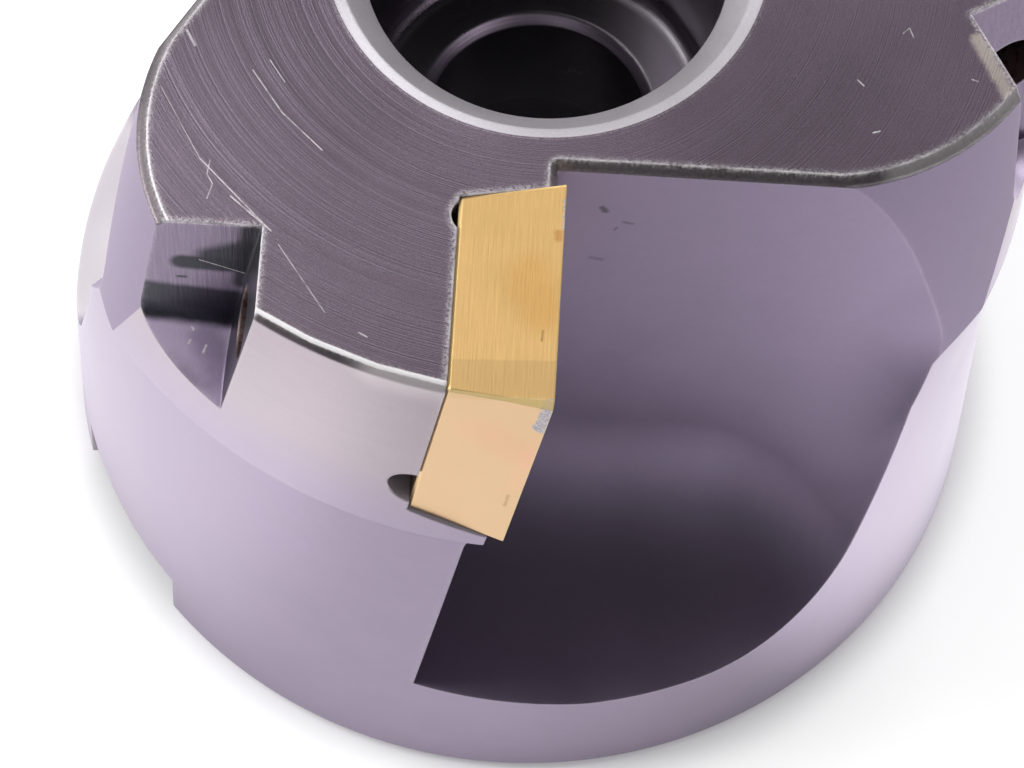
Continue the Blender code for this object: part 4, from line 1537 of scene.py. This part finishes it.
@dataclass
class Studio:
    """A plain white table under soft light, and the camera at the photograph's angle.

    The camera stands off the cutting face's middle by its distance and elevation, and yaw, pitch and roll aim it.
    The table glows white for the camera outside the cutter's foot. What metal mirrors is shaped: the table is
    brighter beside the cutter and dim in front of it, and the room has a bright back, a dim front, a darker
    ceiling and one soft box. A run is where a change starts and ends, and a run of four has its two levels too.
    """

    focal_pixels: float = 5000.0
    image_width: float = 1024.0
    distance: float = 239.9 * MM
    elevation: float = 1.0221187
    yaw: float = -0.00415686
    pitch: float = 1.11063355
    roll: float = 0.05575832
    floor_size: float = 3.0
    sensor_width: float = 36.0

    table_colour: Colour = (0.86, 0.86, 0.87)
    foot: Point2 = (23.0 * MM, 27.0 * MM)
    white_glow: float = 0.45
    table_mirror: float = 0.3
    table_sides: tuple[Point2, Point2, Point2] = (
        (-20.0 * MM, 20.0 * MM), (14.0 * MM, 26.0 * MM), (30.0 * MM, 44.0 * MM),
    )
    dim_run: Point2 = (-105.0 * MM, -44.0 * MM)
    dim_colour: Colour = (0.7, 0.8, 1.0)
    dim_glow: float = 0.11

    room_light: float = 0.6
    back_run: Point2 = (-0.15, 0.35)
    back_turn: float = -0.25
    front_glow: float = 0.07
    ceiling_run: tuple[float, float, float, float] = (0.1, 0.85, 0.9, 0.16)
    aside_run: tuple[float, float, float, float] = (0.45, 0.85, 1.0, 0.4)
    box_toward: Colour = (-0.52, 0.33, 0.79)
    box_run: Point2 = (0.78, 0.955)
    box_glow: float = 0.72

    def camera(self) -> bpy.types.Object:
        """Makes the camera and hands it to the scene."""
        data = bpy.data.cameras.new("camera")
        data.sensor_width = self.sensor_width
        data.lens = data.sensor_width * self.focal_pixels / self.image_width
        data.clip_start = 0.01
        data.clip_end = 20.0
        obj = bpy.data.objects.new("camera", data)
        bpy.context.scene.collection.objects.link(obj)
        eye = Vector((0.0, -self.distance * math.cos(self.elevation), self.distance * math.sin(self.elevation)))
        eye.z += LAYOUT.height
        flat = math.cos(self.pitch)
        ahead = Vector((math.sin(self.yaw) * flat, math.cos(self.yaw) * flat, -math.sin(self.pitch)))
        right = ahead.cross(Vector((0.0, 0.0, 1.0))).normalized()
        up = right.cross(ahead)
        cosine, sine = math.cos(self.roll), math.sin(self.roll)
        right, up = cosine * right + sine * up, cosine * up - sine * right
        made = Matrix((right, up, -ahead)).transposed().to_4x4()
        made.translation = eye
        obj.matrix_world = made
        bpy.context.scene.camera = obj
        return obj

    def floor(self) -> bpy.types.Object:
        """The white table, which keeps the object's shadow."""
        half = 0.5 * self.floor_size
        bm = bmesh.new()
        bm.faces.new([bm.verts.new((x * half, y * half, 0.0)) for x, y in ((-1, -1), (1, -1), (1, 1), (-1, 1))])
        obj = new_object("table", bm)
        made = plain_material("white_table")
        made.use_nodes = True
        graph = Graph(made.node_tree)
        matt = graph.node("ShaderNodeBsdfDiffuse")
        matt.inputs["Color"].default_value = (*self.table_colour, 1.0)
        glow = graph.node("ShaderNodeEmission")
        glow.inputs["Color"].default_value = (1.0, 1.0, 1.0, 1.0)
        place = graph.node("ShaderNodeTexCoord").outputs["Object"]
        clear = graph.span(graph.vector("LENGTH", place), *self.foot)
        x, y, _ = graph.parts(place)
        across = graph.math("ABSOLUTE", x)
        right, near, far = self.table_sides
        sides = graph.span(x, *right, 0.55, 1.0)
        sides = graph.math("MULTIPLY", sides, graph.span(across, *near))
        sides = graph.math("MULTIPLY", sides, graph.span(across, *far, 1.0, 0.2))
        shine = graph.math("MULTIPLY", graph.math("ADD", sides, self.table_mirror), clear)
        rays = graph.node("ShaderNodeLightPath")
        seen = graph.math("MAXIMUM", rays.outputs["Is Camera Ray"], rays.outputs["Is Transmission Ray"])
        seen = graph.math("MULTIPLY", graph.math("MULTIPLY", seen, self.white_glow), clear)
        shine = graph.math("MULTIPLY", rays.outputs["Is Glossy Ray"], shine)
        graph.feed(glow.inputs["Strength"], graph.math("ADD", seen, shine))
        both = graph.node("ShaderNodeAddShader")
        graph.feed(both.inputs[0], matt.outputs[0])
        graph.feed(both.inputs[1], glow.outputs[0])
        dim = graph.node("ShaderNodeEmission")
        dim.inputs["Color"].default_value = (*self.dim_colour, 1.0)
        dim.inputs["Strength"].default_value = self.dim_glow
        front = graph.math("MULTIPLY", rays.outputs["Is Glossy Ray"], graph.span(y, *self.dim_run, 1.0, 0.0))
        table = graph.node("ShaderNodeMixShader")
        for socket, value in zip(table.inputs, (front, both.outputs[0], dim.outputs[0])):
            graph.feed(socket, value)
        graph.end("ShaderNodeOutputMaterial", table)
        obj.data.materials.append(made)
        return obj

    def world(self) -> None:
        """The room: white for the camera, and for metal a bright back and a dim front."""
        world = bpy.data.worlds.new("room")
        bpy.context.scene.world = world
        world.use_nodes = True
        graph = Graph(world.node_tree)
        toward = graph.node("ShaderNodeTexCoord").outputs["Generated"]
        x, y, z = graph.parts(toward)
        back = graph.span(graph.math("MULTIPLY_ADD", x, self.back_turn, y), *self.back_run, self.front_glow, 1.0)
        room = graph.math("MULTIPLY", back, graph.span(z, *self.ceiling_run))
        room = graph.math("MULTIPLY", room, graph.span(x, *self.aside_run))
        aim = tuple(Vector(self.box_toward).normalized())
        box = graph.vector("DOT_PRODUCT", graph.vector("NORMALIZE", toward), aim)
        room = graph.math("ADD", room, graph.span(box, *self.box_run, 0.0, self.box_glow))
        rays = graph.node("ShaderNodeLightPath")
        room = graph.math("SUBTRACT", room, self.room_light)
        lit = graph.math("MULTIPLY_ADD", rays.outputs["Is Glossy Ray"], room, self.room_light)
        seen = graph.math("MAXIMUM", lit, rays.outputs["Is Camera Ray"])
        shader = graph.node("ShaderNodeBackground")
        shader.inputs["Color"].default_value = (1.0, 1.0, 1.0, 1.0)
        graph.feed(shader.inputs["Strength"], seen)
        graph.end("ShaderNodeOutputWorld", shader)

    def lamp(self, name: str, place: Colour, size: float, watts: float) -> bpy.types.Object:
        """A soft square lamp that looks at the cutter."""
        data = bpy.data.lights.new(name, "AREA")
        data.shape = "SQUARE"
        data.size = size
        data.energy = watts
        obj = bpy.data.objects.new(name, data)
        bpy.context.scene.collection.objects.link(obj)
        aim = Vector((0.0, 0.0, 0.5 * LAYOUT.height)) - Vector(place)
        obj.matrix_world = Matrix.Translation(place) @ aim.to_track_quat("-Z", "Y").to_matrix().to_4x4()
        return obj

    def build(self) -> None:
        """Sets up the table, the room, the lamps and the camera."""
        self.floor()
        self.world()
        self.lamp("left_lamp", (-0.55, 0.05, 0.45), 0.4, 3.2)
        self.lamp("back_lamp", (0.25, 0.6, 0.4), 0.4, 1.6)
        self.camera()
        bpy.context.scene.view_settings.view_transform = "Standard"


# Finishes of this cutter

DARK = (0.02, 0.019, 0.028)
PALE = (0.9, 0.85, 0.88)
GREY = (0.8, 0.74, 0.76)
SHADE = (0.14, 0.12, 0.13)
BARE_CARBIDE = (0.62, 0.57, 0.60)
STAIN = (0.32, 0.18, 0.07)


def mm(*lengths: float) -> tuple[float, ...]:
    """Lengths in millimetres, turned into metres."""
    return tuple(length * MM for length in lengths)


def notch_shade_and_flecks() -> tuple[Patch, ...]:
    """The first notch's painted dark reflections on its back wall, a lavender tint on its floor, and its small dark
    pits and pale flecks.
    """
    back = -16.3
    return (
        # Painted reflection: the four wide dark streaks on the back wall stand for the dark room it mirrors
        Patch(mm(-16.2, back, 40.75), mm(-12.9, back, 40.6), 0.9 * MM, DARK, 0.97, 0.5, 0.5),
        Patch(mm(-14.8, back, 41.5), mm(-12.9, back, 42.3), 1.3 * MM, DARK, 0.95, 0.7, 0.3),
        Patch(mm(-12.9, back, 44.2), mm(-13.3, back, 39.0), 0.8 * MM, DARK, 0.9, 0.5, 0.4),
        Patch(mm(-18.2, back, 36.9), mm(-12.8, back, 36.2), 1.9 * MM, DARK, 0.95, 0.4, 0.7),
        Patch(mm(-15.3, -17.0, 34.3), mm(-14.3, -18.6, 33.3), 1.2 * MM, (0.34, 0.26, 0.42), 0.7),
        Patch(mm(-16.5, back, 39.2), mm(-16.2, back, 39.2), 0.2 * MM, DARK, 0.8, 1.2),
        Patch(mm(-15.96, -16.75, 34.83), mm(-15.9, -16.8, 34.7), 0.1 * MM, PALE, 0.9, 1.5, matt=1.0),
        Patch(mm(-16.04, -17.18, 34.29), mm(-16.1, -17.3, 34.2), 0.1 * MM, PALE, 0.8, 1.2, matt=1.0),
        Patch(mm(-15.27, -17.3, 34.05), mm(-15.4, -17.6, 33.85), 0.085 * MM, PALE, 0.9, 1.5, matt=1.0),
        Patch(mm(-14.45, -18.7, 33.3), mm(-14.5, -18.8, 33.3), 0.085 * MM, PALE, 0.9, 1.5, matt=1.0),
        Patch(mm(-15.45, back, 41.0), mm(-13.35, back, 39.9), 0.045 * MM, PALE, 0.5, 0.9, matt=1.0),
    )


def gullet_smudges_and_sheen() -> tuple[Patch, ...]:
    """The smudges in the first gullet, and a painted reflection on the end of the third one's floor, in pale matt
    colour.
    """
    return (
        Patch(mm(3.35, -12.2, 40.9), mm(3.5, -12.2, 40.6), 0.28 * MM, DARK, 0.6, 1.2),
        Patch(mm(4.4, -12.2, 39.6), mm(4.8, -12.2, 39.5), 0.16 * MM, DARK, 0.4, 1.4),
        Patch(mm(4.1, -12.2, 39.0), mm(4.0, -12.2, 38.7), 0.12 * MM, DARK, 0.35, 1.4),
        Patch(mm(3.0, -12.2, 35.8), mm(3.5, -12.2, 35.7), 0.22 * MM, DARK, 0.3, 1.4),
        # Painted reflection: pale matt colour where the third gullet's floor looks bright at a grazing angle
        Patch(mm(-24.0, -2.0, 8.8), mm(-23.4, 6.0, 8.4), 5.0 * MM, PALE, 0.85, 0.2, 0.5, 0.9),
    )


def rim_highlights() -> tuple[Patch, ...]:
    """A painted highlight along the front rim's rounded edge, as bright matt colour in short straight runs."""
    radius, level = mm(24.08, 44.67)
    turns = [math.radians(angle) for angle in (-121.5, -114.0, -106.0, -98.0)]
    highlight_lips = [(radius * math.cos(turn), radius * math.sin(turn), level) for turn in turns]
    # Painted highlight: the bright matt colour stands for light that the rounded rim edge catches from above
    bright = (0.95, 0.92, 0.93)
    return tuple(Patch(start, end, 0.16 * MM, bright, 0.95, 0.6, 0.5, 1.0) for start, end in zip(highlight_lips, highlight_lips[1:]))


def edge_light_and_shade() -> tuple[Patch, ...]:
    """Painted light and shade on the gullets' edges: a lighter matt stretch on the right, dark stretches on the left.
    """
    return (
        # Painted light on the right edge, and painted shade on the two left stretches
        Patch(mm(17.6, -11.1, 44.5), mm(22.0, -7.6, 44.5), 1.8 * MM, GREY, 0.6, 0.4, 0.3, 0.4),
        Patch(mm(-14.5, -3.5, 44.5), mm(-18.6, -9.0, 44.5), 1.6 * MM, SHADE, 0.85, 0.3, 0.6),
        Patch(mm(-18.6, -9.0, 44.5), mm(-18.0, -16.3, 44.5), 1.6 * MM, SHADE, 0.85, 0.3, 0.6),
    )


def face_shade_and_scuff() -> tuple[Patch, ...]:
    """The cutting face's painted shade, two wide darker zones where it mirrors less light, and a scuff at its right
    end.
    """
    return (
        # Painted shade: the two wide dark zones make the face dimmer at its right and left
        Patch(mm(24.0, 2.0, 44.7), mm(13.0, -4.0, 44.7), 13.0 * MM, (0.14, 0.112, 0.145), 0.5, 0.2, 0.0),
        Patch(mm(-17.0, -1.0, 44.7), mm(-9.0, -9.5, 44.7), 8.0 * MM, (0.12, 0.10, 0.125), 0.7, 0.2, 0.0),
        Patch(mm(20.6, -4.0, 44.7), mm(22.3, -7.2, 44.7), 0.5 * MM, (0.75, 0.66, 0.58), 0.6),
    )


def face_scratches() -> tuple[Scratch, ...]:
    """The scratches and lint on the cutting face, as (start, end, width, strength) in millimetres."""
    rows = (
        ((-13.49, -8.01), (-11.95, -10.2), 0.045, 0.5),
        ((-11.95, -10.2), (-9.94, -12.08), 0.045, 0.6),
        ((-12.73, -7.41), (-11.94, -8.55), 0.035, 0.45),
        ((-17.78, -9.11), (-15.6, -12.9), 0.035, 0.35),
        ((-15.6, -12.9), (-12.15, -16.37), 0.05, 0.5),
        ((-14.02, -14.8), (-12.0, -16.5), 0.05, 0.6),
        ((-15.11, -12.96), (-15.2, -13.7), 0.04, 0.5),
        ((-15.2, -13.7), (-14.9, -14.2), 0.04, 0.5),
        ((-14.9, -14.2), (-15.1, -15.0), 0.04, 0.4),
        ((-16.76, -6.05), (-16.32, -6.84), 0.09, 0.4),
        ((17.1, -3.9), (17.4, -3.6), 0.04, 0.6),
        ((17.4, -3.6), (17.6, -4.1), 0.04, 0.5),
        ((15.0, -6.6), (15.3, -6.9), 0.05, 0.6),
        ((20.4, -6.2), (20.7, -6.3), 0.05, 0.6),
        ((15.8, -9.4), (16.1, -9.3), 0.06, 0.7),
        ((-14.0, -17.0), (-13.2, -16.9), 0.05, 0.4),
        ((-7.6, -21.5), (-7.2, -21.7), 0.05, 0.6),
        ((-11.6, -17.2), (-9.2, -20.6), 0.04, 0.4),
    )
    top = LAYOUT.height
    return tuple(Scratch((*mm(*a), top), (*mm(*b), top), width * MM, strength) for a, b, width, strength in rows)


def insert_marks() -> tuple[Patch, ...]:
    """The blushes, stains and chips on the first insert."""
    return (
        Patch(mm(0.2, -18.2, 44.9), mm(0.9, -20.2, 45.0), 1.7 * MM, (0.88, 0.44, 0.11), 0.35),
        Patch(mm(1.3, -15.9, 45.0), mm(1.35, -16.2, 45.0), 0.3 * MM, (0.66, 0.30, 0.10), 0.6, 1.2),
        Patch(mm(-3.8, -23.5, 44.6), mm(1.5, -23.5, 45.0), 1.05 * MM, (0.62, 0.42, 0.19), 0.35, 0.1, 0.85),
        Patch(mm(-1.4, -24.6, 41.0), mm(0.8, -24.8, 39.4), 1.9 * MM, (0.84, 0.46, 0.29), 0.4),
        Patch(mm(0.9, -24.9, 41.5), mm(0.0, -24.9, 36.0), 0.7 * MM, (0.86, 0.50, 0.33), 0.35, 0.9),
        Patch(mm(1.35, -24.75, 44.8), mm(0.95, -24.9, 42.6), 0.36 * MM, BARE_CARBIDE, 1.0, 1.9, 0.75, 0.7),
        Patch(mm(1.62, -14.2, 45.0), mm(1.6, -15.6, 45.0), 0.16 * MM, BARE_CARBIDE, 1.0, 2.0, 0.7, 0.8),
        Patch(mm(0.85, -21.0, 45.0), mm(0.82, -21.5, 45.0), 0.09 * MM, STAIN, 0.6),
        Patch(mm(-0.3, -24.85, 35.2), mm(-0.45, -24.85, 34.0), 0.13 * MM, STAIN, 0.4, 1.2),
        Patch(mm(-0.9, -24.8, 36.9), mm(-0.95, -24.8, 36.8), 0.07 * MM, STAIN, 0.4, 1.2),
    )


def finishes() -> dict[str, bpy.types.Material]:
    """Every finish of the body, by the name of its surface."""
    # The rim's painted highlight, for the face, the land and the edge
    highlight_lips = rim_highlights()
    worn_rim = Patch(mm(-6.6, -23.4, 44.5), mm(-2.6, -24.2, 44.5), 2.0 * MM, (0.62, 0.56, 0.58), 0.9, 0.3, 0.0, 0.7)
    made = (
        SteelFinish(
            "face", (0.20, 0.162, 0.20), 0.42, Lay.RINGS, marks=1.9, mark_pitch=0.075 * MM, grain=0.8, speckle=0.45,
            patches=face_shade_and_scuff() + highlight_lips, scratches=face_scratches(),
        ),
        SteelFinish(
            "land", (0.43, 0.365, 0.40), 0.36, Lay.RINGS, marks=0.3, mark_pitch=0.3 * MM, edge_width=0.3 * MM,
            lower=((0.38, 0.315, 0.42), 29.0 * MM, 37.0 * MM), patches=(worn_rim, *highlight_lips),
        ),
        SteelFinish("shank", (0.33, 0.268, 0.37), 0.36, Lay.RINGS, marks=0.15, mark_pitch=0.4 * MM),
        SteelFinish(
            "gullet", (0.31, 0.25, 0.36), 0.52, Lay.BEADED, marks=0.2, mark_pitch=0.5 * MM, metal=0.86,
            patches=gullet_smudges_and_sheen(),
        ),
        SteelFinish(
            "edge", (0.40, 0.35, 0.38), 0.36, Lay.UPRIGHT, marks=3.0, mark_pitch=0.2 * MM, metal=0.93,
            patches=edge_light_and_shade() + highlight_lips,
        ),
        # The notch's floor colour is painted light: a lighter matt tone where it faces up
        SteelFinish(
            "notch", (0.21, 0.17, 0.235), 0.34, Lay.UPRIGHT, marks=1.4, mark_pitch=0.15 * MM, speckle=0.25,
            floor=(0.62, 0.50, 0.70), patches=notch_shade_and_flecks(),
        ),
        # Painted shade: a darker copy of the notch finish for the first tooth's leaning notch wall
        SteelFinish("notch_wall", (0.08, 0.075, 0.095), 0.36, Lay.UPRIGHT, marks=0.6, mark_pitch=0.2 * MM),
        # The pocket's pale, half-matt grey is partly painted light, which lifts the shaded relief hole and the strip
        # under the insert
        SteelFinish("pocket", (0.46, 0.42, 0.48), 0.4, Lay.LEVEL, marks=0.4, mark_pitch=0.2 * MM, metal=0.5),
        SteelFinish("thread", (0.3, 0.22, 0.22), 0.5, Lay.BEADED, rust=0.8),
        SteelFinish(
            "mouth", (0.52, 0.49, 0.53), 0.42, Lay.BEADED, marks=0.8, mark_pitch=0.12 * MM, metal=0.6, scuff=0.0
        ),
        SteelFinish("bore", (0.30, 0.27, 0.31), 0.3, Lay.RINGS, marks=0.6, mark_pitch=0.2 * MM),
        SteelFinish("back", (0.4, 0.35, 0.4), 0.33, Lay.RINGS, marks=0.8, mark_pitch=0.14 * MM),
    )
    return {finish.name: finish.material() for finish in made}


def main() -> None:
    """Builds and dresses every piece, then the studio."""
    logging.basicConfig(level=logging.INFO, format="%(message)s")
    ring, thread = ring_group(), thread_group()
    body = Body(finishes(), ring).build()
    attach(body, ROOT)
    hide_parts("cutter_body")
    LOG.info("body: %d faces", len(body.data.polygons))

    gold = CoatingFinish("gold_coating", patches=insert_marks()).material()
    screw_finish = SteelFinish("screw_finish", (0.34, 0.32, 0.34), 0.34, Lay.RINGS, mark_pitch=0.1 * MM).material()
    for index in range(LAYOUT.teeth):
        insert = Insert(gold, ring).build(index)
        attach(insert, ROOT)
        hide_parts(f"insert_{index + 1}")
        screw = InsertScrew(screw_finish, ring, thread).build(index)
        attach(screw, ROOT)
        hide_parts(f"insert_screw_{index + 1}")
        LOG.info("tooth %d: %d and %d faces", index + 1, len(insert.data.polygons), len(screw.data.polygons))
    Studio().build()


if __name__ == "__main__":
    main()
